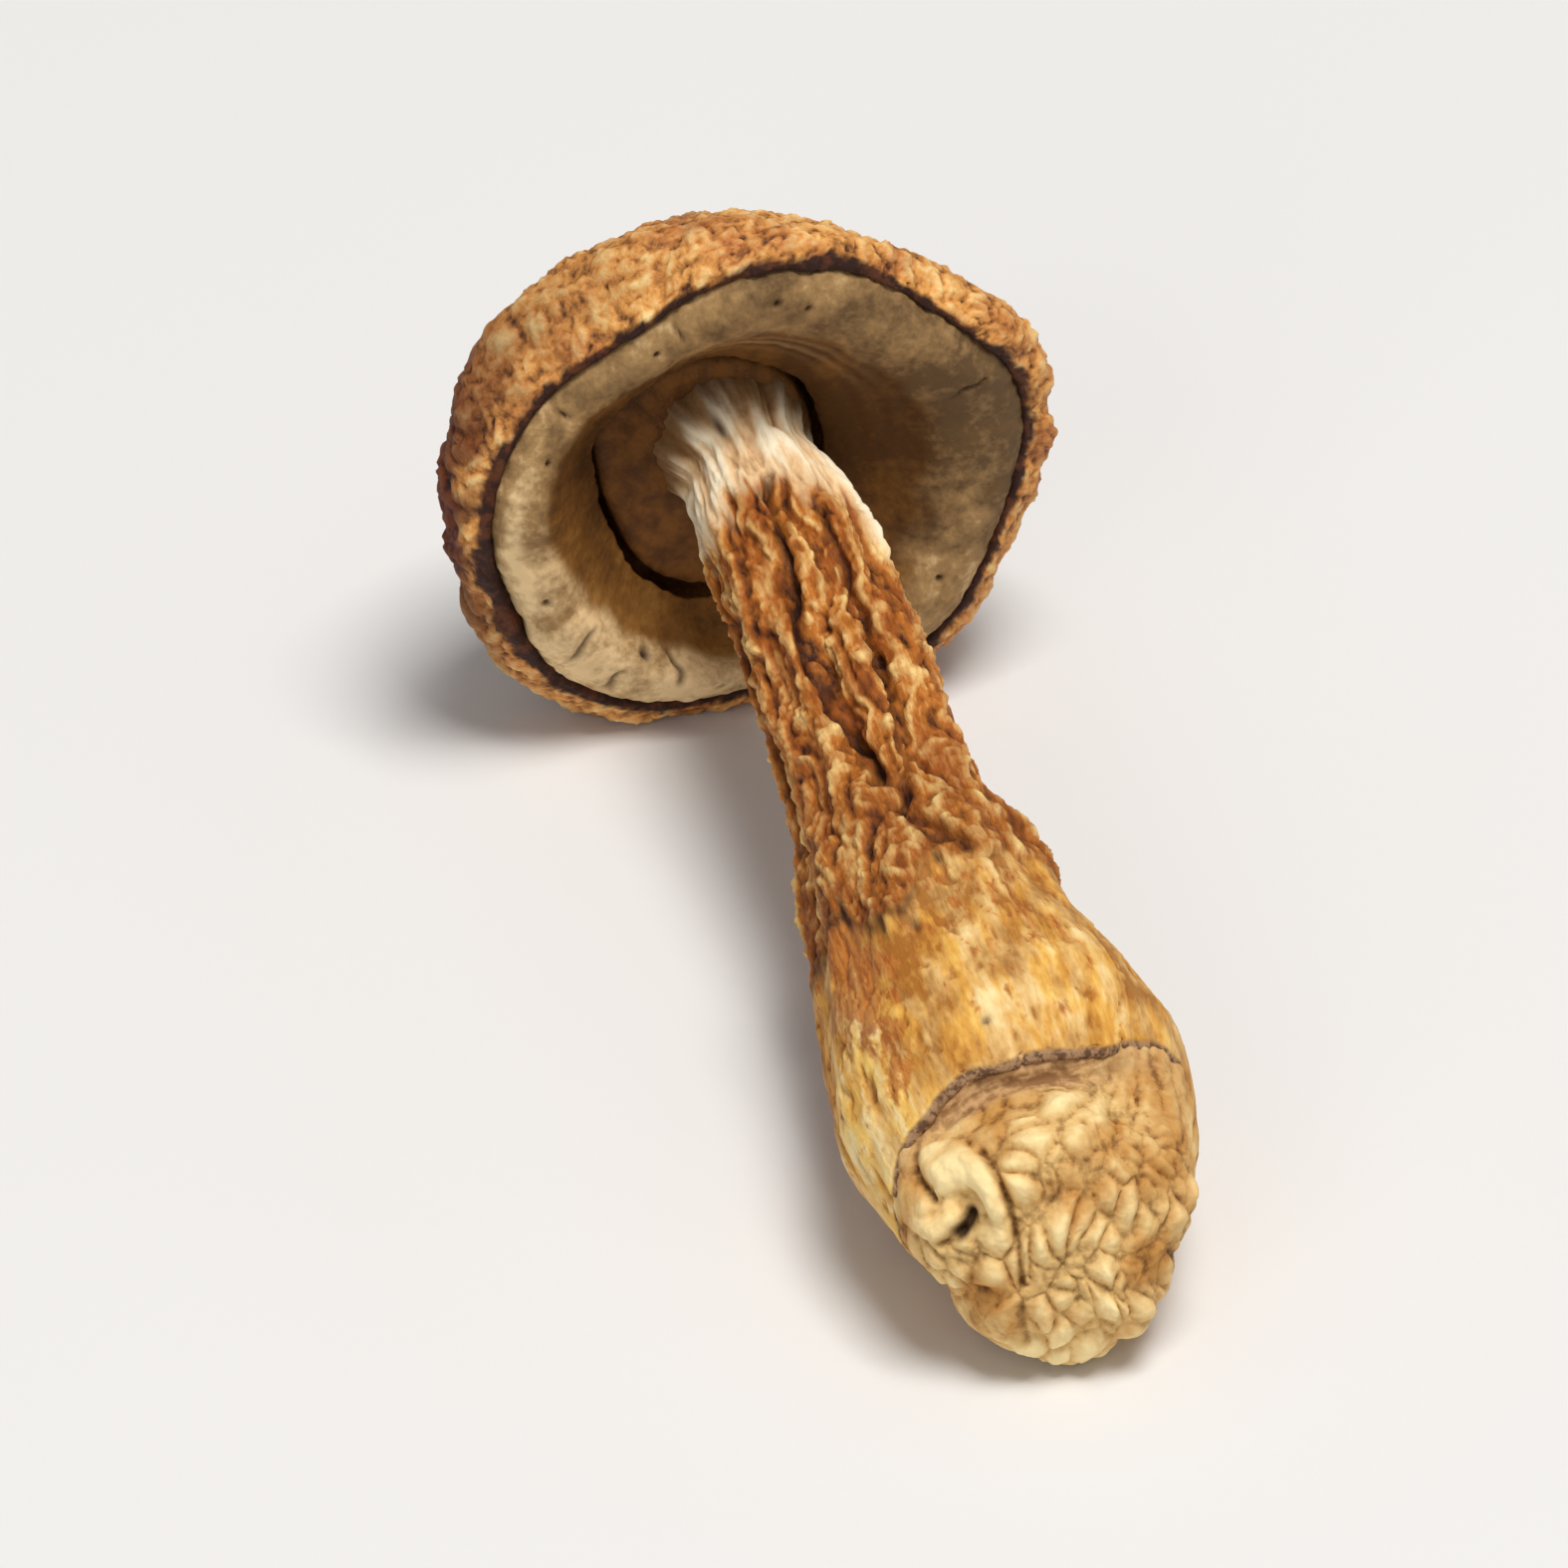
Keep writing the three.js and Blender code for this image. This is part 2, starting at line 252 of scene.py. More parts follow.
class Lumps:
    """Seeded lumps that touch along thin creases, as flesh crumples when it dries."""

    def __init__(self, seed: int) -> None:
        """Draws where the lumps lie.

        Args:
            seed: The draw's seed.
        """
        self.spots = np.random.default_rng(seed).random((TABLE, 3))

    def __call__(self, points: Array, size: float, long: float = 1.0) -> Array:
        """Reads the lumps.

        Args:
            points: Places in millimetres.
            size: Width of a lump.
            long: How many times longer they are in the third direction.

        Returns:
            Heights of 0 in the creases to 1 on the lumps.
        """
        p = points / (size * np.array([1, 1, long]))
        cell = np.floor(p).astype(np.int64)
        nearest = np.full(p.shape[:-1], 9.0)
        second = nearest.copy()
        for corner in np.ndindex(3, 3, 3):
            at = cell + np.array(corner) - 1
            gap = np.linalg.norm(at + self.spots[scattered(at)] - p, axis=-1)
            second = np.minimum(second, np.maximum(nearest, gap))
            nearest = np.minimum(nearest, gap)
        inwards = (second - nearest) / (second + nearest)
        return (inwards * (2 - inwards)) ** 0.85


class Trace:
    """A line drawn on a surface by a few given places, such as a crease or a fold."""

    def __init__(self, *places: tuple[float, float]) -> None:
        """Draws the line.

        Args:
            places: The places that it goes through, two numbers each.
        """
        self.line = Curve(places).spaced(8 * len(places))

    def nearest(self, x: Array, y: Array) -> tuple[Array, Array]:
        """Finds the line's nearest spot.

        Args:
            x: First number of each place.
            y: Second number of each place.

        Returns:
            How far each place is from the line, and how far along the line that is, of 0 to 1.
        """
        gap = np.full(np.shape(x), 99.0)
        share = np.zeros(np.shape(x))
        steps = len(self.line) - 1
        for step, (a, b) in enumerate(zip(self.line[:-1], self.line[1:])):
            way = b - a
            part = np.clip(((x - a[0]) * way[0] + (y - a[1]) * way[1]) / (way @ way), 0, 1)
            near = np.hypot(x - a[0] - part * way[0], y - a[1] - part * way[1])
            share = np.where(near < gap, (step + part) / steps, share)
            gap = np.minimum(gap, near)
        return gap, share

    def bell(self, x: Array, y: Array, width: float) -> Array:
        """Returns 1 on the line, fallen to about a third at the given distance from it."""
        return bell(self.nearest(x, y)[0], width)


class Wrinkles:
    """A seamless sheet of wrinkles, as a skin that has shrunk on its flesh buckles.

    The sheet is grown from seeded noise until its folds have one width and join up. Its folds run
    along its second direction where grain is above 0.
    """

    SIZE = 480
    ROUNDS = 60
    DRIVE = 0.45
    STEP = 0.6

    def __init__(self, seed: int, folds: int, grain: float = 0.0) -> None:
        """Grows the sheet.

        Args:
            seed: The draw's seed.
            folds: How many folds lie across the sheet.
            grain: How strongly the folds keep to the second direction.
        """
        draw = np.random.default_rng(seed)
        across = np.fft.fftfreq(self.SIZE)[:, None] * self.SIZE / folds
        along = np.fft.rfftfreq(self.SIZE)[None, :] * self.SIZE / folds
        k2 = across**2 + along**2
        growth = self.DRIVE - (1 - k2) ** 2 - grain * along**2
        start = np.fft.rfft2(draw.normal(size=(self.SIZE, self.SIZE)))
        sheet = np.fft.irfft2(start * np.exp(-((k2 - 1) ** 2) * 8), s=(self.SIZE, self.SIZE))
        sheet *= 0.4 / sheet.std()
        for _ in range(self.ROUNDS):
            state = np.fft.rfft2(sheet - self.STEP * sheet**3)
            sheet = np.fft.irfft2(state / (1 - self.STEP * growth), s=(self.SIZE, self.SIZE))
        self.sheet = np.clip(sheet / (2 * sheet.std()), -1, 1)

    def __call__(self, across: Array, along: Array) -> Array:
        """Reads the sheet.

        Args:
            across: Place across the folds, in sheets.
            along: Place along the folds, in sheets.

        Returns:
            Values of -1 in the creases to 1 on the crests.
        """
        x = np.mod(across, 1) * self.SIZE
        y = np.mod(along, 1) * self.SIZE
        i, j = np.floor(x).astype(int) % self.SIZE, np.floor(y).astype(int) % self.SIZE
        fx, fy = x - np.floor(x), y - np.floor(y)
        i2, j2 = (i + 1) % self.SIZE, (j + 1) % self.SIZE
        near = mix(self.sheet[i, j], self.sheet[i2, j], fx)
        far = mix(self.sheet[i, j2], self.sheet[i2, j2], fx)
        return mix(near, far, fy)


def crest(wave: Array, power: float = 1.0) -> Array:
    """Turns a wave of -1 to 1 into a height of 0 to 1.

    Args:
        wave: The wave.
        power: Above 1 for thin crests between wide troughs, below 1 for thin creases.

    Returns:
        The height.
    """
    return np.clip(0.5 + 0.5 * wave, 0, 1) ** power


class Ends(Enum):
    """How a surface that is drawn ring by ring closes."""

    POINTS = "a point at both ends"
    LOOP = "the last ring joins the first"


@dataclass
class Surface:
    """A closed surface drawn as rings of points, with values that its finish reads.

    Attributes:
        points: Points in millimetres, as rings by columns by 3.
        ends: How the surface closes.
        first: Point that closes the first ring.
        last: Point that closes the last ring.
        values: Named values, each as rings by columns.
    """

    points: Array
    ends: Ends = Ends.POINTS
    first: Array | None = None
    last: Array | None = None
    values: dict[str, Array] = field(default_factory=dict)

    def outward(self) -> Array:
        """Returns the outward direction at each point of the rings."""
        around = np.roll(self.points, -1, axis=1) - np.roll(self.points, 1, axis=1)
        if self.ends is Ends.LOOP:
            down = np.roll(self.points, -1, axis=0) - np.roll(self.points, 1, axis=0)
        else:
            down = np.gradient(self.points, axis=0)
        return unit(np.cross(around, down))

    def raised(self, height: Array) -> "Surface":
        """Moves the surface outwards.

        Args:
            height: How far each point of the rings moves, in millimetres.

        Returns:
            The moved surface; its end points follow their rings' average.
        """
        moved = self.points + self.outward() * height[..., None]
        first, last = self.first, self.last
        if self.ends is Ends.POINTS:
            first = first + (moved[0] - self.points[0]).mean(axis=0)
            last = last + (moved[-1] - self.points[-1]).mean(axis=0)
        return Surface(moved, self.ends, first, last, self.values)

    def build(self, name: str, place: Callable[[Array], Array]) -> bpy.types.Object:
        """Writes the surface as a Blender mesh in metres, resting on the level z = 0.

        Args:
            name: The piece's name.
            place: Turns the form's own millimetres into the frame's.

        Returns:
            The new object.
        """
        rings, columns = self.points.shape[:2]
        verts = self.points.reshape(-1, 3)
        if self.ends is Ends.POINTS:
            verts = np.vstack([verts, self.first, self.last])
        verts = place(verts) * MM
        verts[:, 2] = np.maximum(verts[:, 2], 0)

        at = np.arange(rings * columns).reshape(rings, columns)
        aside = np.roll(at, -1, axis=1)
        below, below_aside = np.roll(at, -1, axis=0), np.roll(aside, -1, axis=0)
        quads = np.stack([at, aside, below_aside, below], axis=-1)
        if self.ends is Ends.POINTS:
            quads = quads[:-1]
            first, last = rings * columns, rings * columns + 1
            top = [(first, b, a) for a, b in zip(at[0], aside[0])]
            bottom = [(last, a, b) for a, b in zip(at[-1], aside[-1])]
            faces = [*quads.reshape(-1, 4).tolist(), *top, *bottom]
        else:
            faces = quads.reshape(-1, 4).tolist()
        mesh = bpy.data.meshes.new(name)
        mesh.from_pydata(verts.tolist(), [], faces)
        mesh.polygons.foreach_set("use_smooth", np.ones(len(mesh.polygons), bool))
        for key, value in self.values.items():
            flat = value.reshape(-1).astype(np.float32)
            if self.ends is Ends.POINTS:
                ends = [value[0].mean(), value[-1].mean()]
                flat = np.concatenate([flat, ends]).astype(np.float32)
            mesh.attributes.new(key, "FLOAT", "POINT").data.foreach_set("value", flat)
        mesh.update()
        piece = bpy.data.objects.new(name, mesh)
        bpy.context.scene.collection.objects.link(piece)
        return piece


@dataclass(frozen=True)
class CapForm:
    """Sizes and coarse relief of the cap, as the part has them.

    Attributes:
        height: Depth of the crown behind the rim's plane.
        rim_radius: Radius at which the skin's edge ends.
        hole_radius: Radius of the torn hole in the veil.
        middle: Middle of the rim.
        tilt: How far the cap's axis rises towards the crown, in degrees.
    """

    height: float = 8.7
    rim_radius: float = 10.2
    hole_radius: float = 4.9
    middle: tuple[float, float, float] = (0.0, 16.0, 10.95)
    tilt: float = 2.6

    @property
    def skin_outline(self) -> list[tuple[float, float]]:
        """Returns the skin's outline as radius and depth, from the crown to the skin's edge."""
        side = [(4.4, 8.1), (7.3, 6.9), (9.5, 5.4), (11.1, 3.8), (11.8, 2.3), (11.4, 0.9), (10.7, 0.1)]
        return [(0.0, self.height), *side, (self.rim_radius, 0.0)]

    @property
    def axes(self) -> Array:
        """Returns the directions sideways, up across the cap, and towards the crown."""
        c, s = math.cos(math.radians(self.tilt)), math.sin(math.radians(self.tilt))
        return np.array([[1, 0, 0], [0, -s, c], [0, c, s]])

    def place(self, across: Array, up: Array, depth: Array) -> Array:
        """Returns the points at the given distances along the cap's three directions."""
        return np.array(self.middle) + np.stack([across, up, depth], axis=-1) @ self.axes

    def local(self, points: Array) -> Array:
        """Returns points as distances along the cap's three directions."""
        return (points - np.array(self.middle)) @ self.axes.T

    @staticmethod
    def outline(angle: Array) -> Array:
        """Returns how far the cap's outline is from a circle, as a factor on its radius."""
        wave = 0.02 * np.cos(2 * angle - 0.6) + 0.013 * np.cos(3 * angle + 1.1)
        return 1 + wave + 0.03 * np.sin(5 * angle + 0.1)

    @staticmethod
    def swelling(angle: Array, depth: Array) -> Array:
        """Returns how much further the cap swells behind its margin at some places than at others."""
        places = [(1.1, 1.1, -1.1), (2.2, 0.45, 0.9), (3.3, 0.4, -0.6), (4.1, 0.4, 0.4)]
        return fade(0.3, 3.3, depth) * swells(angle, places)

    @staticmethod
    def margin_shift(angle: Array) -> Array:
        """Returns how much further out the margin lies at some places than at others."""
        return swells(angle, [(2.35, 0.45, -0.4), (3.3, 0.35, 0.3), (1.25, 0.35, 0.3)])

    @staticmethod
    def margin_wave(angle: Array) -> Array:
        """Returns how far the cap's margin waves along the cap's axis."""
        wave = 0.32 * np.sin(3 * angle + 0.8) + 0.2 * np.sin(5 * angle + 2.0)
        return wave + 0.12 * np.sin(8 * angle)

    @staticmethod
    def skin_relief(angle: Array, radius: Array, depth: Array) -> Array:
        """Returns the coarse relief of the skin: pleats down its side and a folded, sunken crown."""
        x, y = radius * np.cos(angle), radius * np.sin(angle)
        crown = fade(10, 6, radius)
        drift = 1.6 * np.sin(2 * angle + 0.7) + 1.3 * np.sin(0.9 * depth + 3 * angle)
        pleats = fold(np.sin(9 * angle + drift)) * (0.65 + 0.35 * np.sin(4 * angle + 1))
        rumples = np.sin(1.7 * depth + 2.2 * np.sin(5 * angle + 0.6 * depth))
        across = fold(np.sin(0.62 * x + 1.5 * np.sin(0.42 * y + 1.2)))
        up = fold(np.sin(0.55 * y + 1.4 * np.sin(0.5 * x + 2)))
        return (1 - crown) * (0.26 * pleats + 0.12 * rumples) + crown * (0.32 * (across + up) - 0.35)

    def skin_point(self, angle: Array, radius: Array, depth: Array) -> Array:
        """Returns points on the skin: the outline, made uneven, leaning and shrivelled."""
        keep = fade(self.rim_radius, self.rim_radius + 0.9, np.maximum(radius, 9 + depth))
        relief = self.skin_relief(angle, radius, depth) * keep
        out = unit(np.stack([radius, 1.6 * (depth - 1.5)], axis=-1))
        swell = self.swelling(angle, depth) * radius / self.rim_radius
        swell = swell + self.margin_shift(angle) * fade(2.5, 0, depth)
        r = (radius + swell + relief * out[..., 0]) * self.outline(angle)
        d = depth + relief * out[..., 1] + self.margin_wave(angle) * fade(6, 0, depth)
        lean = fade(2, self.height, depth)
        return self.place(r * np.cos(angle) - 0.9 * lean, r * np.sin(angle) - 0.3 * lean, d)

    @staticmethod
    def hole_outline(angle: Array) -> Array:
        """Returns how far the torn hole in the veil is from a circle, as a factor on its radius."""
        torn = swells(angle, [(3.65, 0.5, -0.12), (4.75, 0.35, 0.1), (2.6, 0.3, 0.1)])
        return 1 + 0.08 * np.cos(2 * angle - 2.6) + torn

    @staticmethod
    def gap_closed(angle: Array) -> Array:
        """Returns how far the gap behind the veil's torn edge is closed."""
        return 0.75 * bell(turn(angle, 2.3), 0.65)

    def inner_point(self, angle: Array, radius: Array, depth: Array) -> Array:
        """Returns points on the underside, whose middle sits a little to the left."""
        inner = fade(9.6, self.hole_radius, radius)
        uneven = mix(self.outline(angle), self.hole_outline(angle), inner)
        closed = self.gap_closed(angle)
        floor_edge = 0.4 * closed * fade(2.4, 4.4, radius) * fade(5.1, 4.8, radius) * fade(2.1, 2.3, depth)
        r = (radius + floor_edge + self.margin_shift(angle) * fade(8.5, 10, radius)) * uneven
        wave = mix(self.margin_wave(angle), 0.35 * np.sin(angle), fade(9.5, 5.5, radius))
        d = depth - closed * np.maximum(depth - 2.4, 0) + wave
        return self.place(r * np.cos(angle) - 1.4 * inner, r * np.sin(angle) - 0.4 * inner, d)


@dataclass(frozen=True)
class StemForm:
    """Sizes and coarse relief of the stem and foot, as the part has them.

    Attributes:
        reach: How far the stem stands in front of the rim.
        root: How deep it is rooted behind the rim.
        bulge: How far the foot's end swells past the reach.
        slant: How far the foot's end leans back at its top, as a slope.
        side_cut: How far the skin's edge lies back on the right, as a slope.
        rim_y: Place of the rim's plane.
    """

    reach: float = 38.6
    root: float = 5.0
    bulge: float = 3.4
    slant: float = 0.42
    side_cut: float = 0.4
    rim_y: float = 16.0

    @property
    def radii(self) -> Array:
        """Returns the stem's radius by distance in front of the rim."""
        top = [(-self.root, 2.6), (-1.2, 2.3), (0, 2.5), (2, 2.85), (5, 3.15), (9, 3.25)]
        foot = [(21.5, 4.25), (25, 4.85), (29, 5.5), (33, 5.9), (36, 5.95), (self.reach, 5.6)]
        return np.array([*top, (15, 3.3), (18.5, 3.6), *foot])

    @cached_property
    def path(self) -> Curve:
        """Returns the stem's middle line."""
        route = [
            (-self.root, -1.0, 11.5),
            (-2, -0.2, 11.3),
            (5, 0.4, 10.5),
            (14, 0.5, 9.2),
            (24, 0.25, 7.5),
            (33, 0.75, 5.95),
            (self.reach + self.bulge, 0.5, 5.2),
        ]
        return Curve([(across, self.rim_y - along, height) for along, across, height in route])

    def around(self, along: Array, angle: Array, radius: Array, forward: Array | float = 0.0) -> Array:
        """Finds points round the stem's middle line.

        Args:
            along: Distance in front of the rim.
            angle: Angle round the line, 0 to the right and a quarter turn upwards.
            radius: Distance from the line.
            forward: Further distance along the line's direction.

        Returns:
            The points.
        """
        share = (along + self.root) / (self.reach + self.root + self.bulge)
        ahead = self.path.heading(share)
        side = unit(np.array([1.0, 0, 0]) - ahead * ahead[..., :1])
        up = np.cross(ahead, side)
        out = side * np.cos(angle)[..., None] + up * np.sin(angle)[..., None]
        step = np.broadcast_to(forward, np.shape(radius))[..., None]
        return self.path.at(share) + out * np.asarray(radius)[..., None] + ahead * step

    @staticmethod
    def relief(angle: Array, along: Array) -> Array:
        """Returns the coarse relief: wavy ridges, furrows and the shoulder of the foot."""
        wander = 0.5 * np.sin(0.33 * along) + 0.25 * np.sin(0.8 * along + 2)
        ridges = 0.15 * np.cos(9 * angle + 2.2 * wander) + 0.1 * np.cos(5 * angle - 1.6 * wander + 1)
        shaft = fade(0, 6, along) * fade(33, 22, along)
        left = bell(turn(angle, 2.05 + 0.12 * wander), 0.2) * fade(5, 8, along) * fade(21, 17, along)
        right = bell(turn(angle, 1.35 + 0.1 * wander), 0.19) * fade(5, 9, along) * fade(24, 20, along)
        below = bell(turn(angle, -1.2 + 0.2 * wander), 0.2) * fade(2, 8, along) * fade(30, 22, along)
        furrows = 0.75 * left + 0.6 * right + 0.55 * below
        shoulder = bell(turn(angle, 0.5), 0.6) * fade(19.4, 22, along) * fade(28, 23, along)
        flare = fade(-0.6, -2.8, along) * (0.65 + 0.35 * np.sin(angle))
        return ridges * (0.35 + shaft) - furrows + 0.55 * shoulder + 0.8 * flare

    def radius(self, angle: Array, along: Array) -> Array:
        """Returns the stem's radius with its coarse relief; its foot is wider than tall."""
        broad = 0.12 * fade(23, 33, along) * np.cos(angle) ** 2
        shrunk = 1.7 * bell(turn(angle, 3.75), 0.5) * fade(31, self.reach, along)
        flat_side = 0.4 * bell(turn(angle, 2.9), 0.6) * fade(14, 24, along)
        corner = 0.5 * bell(turn(angle, 0.45), 0.35) * fade(33, 37.5, along)
        uneven = corner - shrunk - flat_side + self.relief(angle, along)
        return np.interp(along, *self.radii.T) * (1 + broad) + uneven

    def skin_point(self, angle: Array, along: Array, rise: Array | float = 0.0) -> Array:
        """Finds points on the stem's skin.

        Args:
            angle: Angle round the stem.
            along: Distance in front of the rim, before the foot's end is slanted.
            rise: Further distance outwards.

        Returns:
            The points.
        """
        radius = self.radius(angle, along) + rise
        back = self.edge_back(angle, radius) * fade(24, self.reach, along)
        return self.around(along, angle, radius, -back)

    def edge_back(self, angle: Array, radius: Array) -> Array:
        """Finds how far back the foot's torn edge lies, mostly at its top and on its right.

        Args:
            angle: Angle round the foot's middle.
            radius: Distance from its middle.

        Returns:
            The distance from a straight cut.
        """
        slope = self.slant * mix(0.45, 1.0, fade(-0.6, 0.2, np.sin(angle)))
        side = self.side_cut * fade(0.35, 1, np.cos(angle - 0.1))
        return radius * (slope * np.sin(angle) + side)

    def end_point(self, angle: Array, radius: Array, forward: Array) -> Array:
        """Finds points on the foot's end, which faces a little upwards.

        Args:
            angle: Angle round its middle.
            radius: Distance from its middle.
            forward: Distance in front of the skin's edge.

        Returns:
            The points.
        """
        spot = np.full(np.shape(angle), self.reach)
        plain = self.slant * radius * np.sin(angle)
        back = mix(plain, self.edge_back(angle, radius), fade(1.5, 0, forward))
        points = self.around(spot, angle, radius, forward - back)
        return points + np.asarray(forward)[..., None] * np.array([0.0, 0.0, self.slant])

    def lip_point(self, angle: Array, share: Array, step: Array) -> Array:
        """Finds points inside the skin's torn edge at the foot.

        Args:
            angle: Angle round the foot's middle.
            share: How far inwards, 0 at the edge and 1 at the middle.
            step: Distance in front of the edge.

        Returns:
            The points.
        """
        spot = np.full(np.shape(angle), self.reach)
        radius = self.radius(angle, spot) * (1 - share)
        return self.around(spot, angle, radius, step - self.edge_back(angle, radius))


@dataclass
class Mushroom:
    """The whole mushroom's forms and where they lie in the frame."""

    cap: CapForm = field(default_factory=CapForm)
    stem: StemForm = field(default_factory=StemForm)

    @cached_property
    def shift(self) -> Array:
        """Returns how far the forms' own origin is from the frame's, in millimetres."""
        angle = np.linspace(0, FULL_TURN, 96, endpoint=False)[None, :]
        radius, depth = Curve(self.cap.skin_outline).spaced(60).T[..., None]
        skin = self.cap.skin_point(angle, radius, depth).reshape(-1, 3)
        low, high = (np.array(corner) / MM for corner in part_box(NODE))
        across = (low[0] + high[0] - skin[:, 0].min() - skin[:, 0].max()) / 2
        return np.array([across, high[1] - skin[:, 1].max(), 0.0])

    def placed(self, points: Array) -> Array:
        """Returns points of the forms in the frame, still in millimetres."""
        return points + self.shift


def linear(red: int, green: int, blue: int) -> Rgb:
    """Turns a display colour of 0 to 255 into linear light."""
    shares = [v / 255 for v in (red, green, blue)]
    return tuple(v / 12.92 if v <= 0.04045 else ((v + 0.055) / 1.055) ** 2.4 for v in shares)


Socket = bpy.types.NodeSocket
Value = Socket | float
Colour = Socket | Rgb


class Paint:
    """A material under construction: short names for the nodes that finishes use."""

    def __init__(self, name: str) -> None:
        """Starts an empty material with its shader.

        Args:
            name: The material's name.
        """
        self.material = bpy.data.materials.new(name)
        self.material.use_nodes = True
        self.tree = self.material.node_tree
        self.tree.nodes.clear()
        self.shader = self._node("ShaderNodeBsdfPrincipled")
        output = self._node("ShaderNodeOutputMaterial")
        self.tree.links.new(self.shader.outputs["BSDF"], output.inputs["Surface"])
        self.place = self._node("ShaderNodeTexCoord").outputs["Object"]

    def _node(self, kind: str, **settings: object) -> bpy.types.Node:
        """Returns a new node with the given settings."""
        node = self.tree.nodes.new(kind)
        for key, value in settings.items():
            setattr(node, key, value)
        return node

    def _feed(self, socket: Socket, value: Value | Colour) -> None:
        """Links a socket to another, or sets its value."""
        if isinstance(value, bpy.types.NodeSocket):
            self.tree.links.new(value, socket)
        elif isinstance(value, tuple) and len(socket.default_value) == 4:
            socket.default_value = (*value, 1.0)
        else:
            socket.default_value = value

    def value(self, name: str) -> Socket:
        """Returns the value that the mesh carries under this name."""
        return self._node("ShaderNodeAttribute", attribute_name=name).outputs["Fac"]

    def math(self, operation: str, a: Value, b: Value = 0.0, clamp: bool = False) -> Socket:
        """Combines two numbers.

        Args:
            operation: Blender's name for what is done.
            a: The first number.
            b: The second number.
            clamp: Whether the result is kept within 0 to 1.

        Returns:
            The result.
        """
        node = self._node("ShaderNodeMath", operation=operation, use_clamp=clamp)
        self._feed(node.inputs[0], a)
        self._feed(node.inputs[1], b)
        return node.outputs[0]

    def span(self, value: Value, low: float, high: float, start: float = 0.0, end: float = 1.0) -> Socket:
        """Spreads a number over a new range, smoothly and clamped.

        Args:
            value: The number.
            low: Where the result is start.
            high: Where the result is end.
            start: The result's one end.
            end: The result's other end.

        Returns:
            The spread number.
        """
        node = self._node("ShaderNodeMapRange", interpolation_type="SMOOTHSTEP")
        for socket, given in zip(node.inputs[:5], (value, low, high, start, end)):
            self._feed(socket, given)
        return node.outputs[0]

    def stretched(self, scale: tuple[float, float, float], turned: tuple[float, float, float]) -> Socket:
        """Returns the place, turned by the given degrees and then scaled on each axis."""
        node = self._node("ShaderNodeMapping", vector_type="POINT")
        node.inputs["Scale"].default_value = scale
        node.inputs["Rotation"].default_value = [math.radians(a) for a in turned]
        self._feed(node.inputs["Vector"], self.place)
        return node.outputs[0]

    def noise(self, size: float, detail: float = 2.0, rough: float = 0.5, warp: float = 0.0,
              place: Socket | None = None) -> Socket:
        """Draws soft noise.

        Args:
            size: Width of a bump in millimetres.
            detail: How many finer layers it has.
            rough: How strong these are.
            warp: How far it is pulled out of shape.
            place: Where it is read; the object's own place if not given.

        Returns:
            Values round 0.5.
        """
        node = self._node("ShaderNodeTexNoise")
        self._feed(node.inputs["Vector"], self.place if place is None else place)
        settings = {"Scale": 1 / (size * MM), "Detail": detail, "Roughness": rough, "Distortion": warp}
        for key, number in settings.items():
            node.inputs[key].default_value = number
        return node.outputs[0]

    def roughened(self, value: Value, noise: Socket, reach: float) -> Socket:
        """Adds soft noise to a number, at most the given reach up or down."""
        return self.math("ADD", value, self.span(noise, 0.25, 0.75, -reach, reach))

    def blend(self, share: Value, a: Colour, b: Colour, how: str = "MIX") -> Socket:
        """Mixes two colours.

        Args:
            share: How much of the second.
            a: The first colour.
            b: The second colour.
            how: Blender's name for the kind of mix.

        Returns:
            The mixed colour.
        """
        node = self._node("ShaderNodeMix", data_type="RGBA", blend_type=how)
        self._feed(node.inputs[0], share)
        self._feed(node.inputs[6], a)
        self._feed(node.inputs[7], b)
        return node.outputs[2]

    def tinted(self, colour: Colour, tint: Rgb) -> Socket:
        """Returns a colour darkened by a tint."""
        return self.blend(1.0, colour, tint, "MULTIPLY")

    def shades(self, value: Value, stops: Sequence[tuple[float, Rgb]]) -> Socket:
        """Turns a number into a colour.

        Args:
            value: The number.
            stops: Places on the scale and their colours, in order.

        Returns:
            The colour.
        """
        node = self._node("ShaderNodeValToRGB")
        ramp = node.color_ramp
        while len(ramp.elements) < len(stops):
            ramp.elements.new(0.5)
        for element, (position, colour) in zip(ramp.elements, stops):
            element.position = position
            element.color = (*colour, 1.0)
        self._feed(node.inputs[0], value)
        return node.outputs[0]

    def bump(self, height: Socket, depth: float, below: Socket | None = None) -> Socket:
        """Adds relief that is too fine for the mesh.

        Args:
            height: The relief, of 0 to 1.
            depth: Its depth in millimetres.
            below: Relief that this one lies on.

        Returns:
            The new surface direction.
        """
        node = self._node("ShaderNodeBump")
        node.inputs["Distance"].default_value = depth * MM
        self._feed(node.inputs["Height"], height)
        if below is not None:
            self._feed(node.inputs["Normal"], below)
        return node.outputs[0]

    def finish(self, colour: Socket, roughness: Value, normal: Socket, gloss: float) -> bpy.types.Material:
        """Completes the material.

        Args:
            colour: The surface's colour.
            roughness: The surface's roughness.
            normal: The surface's direction with its fine relief.
            gloss: Strength of its reflections.

        Returns:
            The material.
        """
        self._feed(self.shader.inputs["Base Color"], colour)
        self._feed(self.shader.inputs["Roughness"], roughness)
        self._feed(self.shader.inputs["Normal"], normal)
        self.shader.inputs["Specular IOR Level"].default_value = gloss
        return self.material


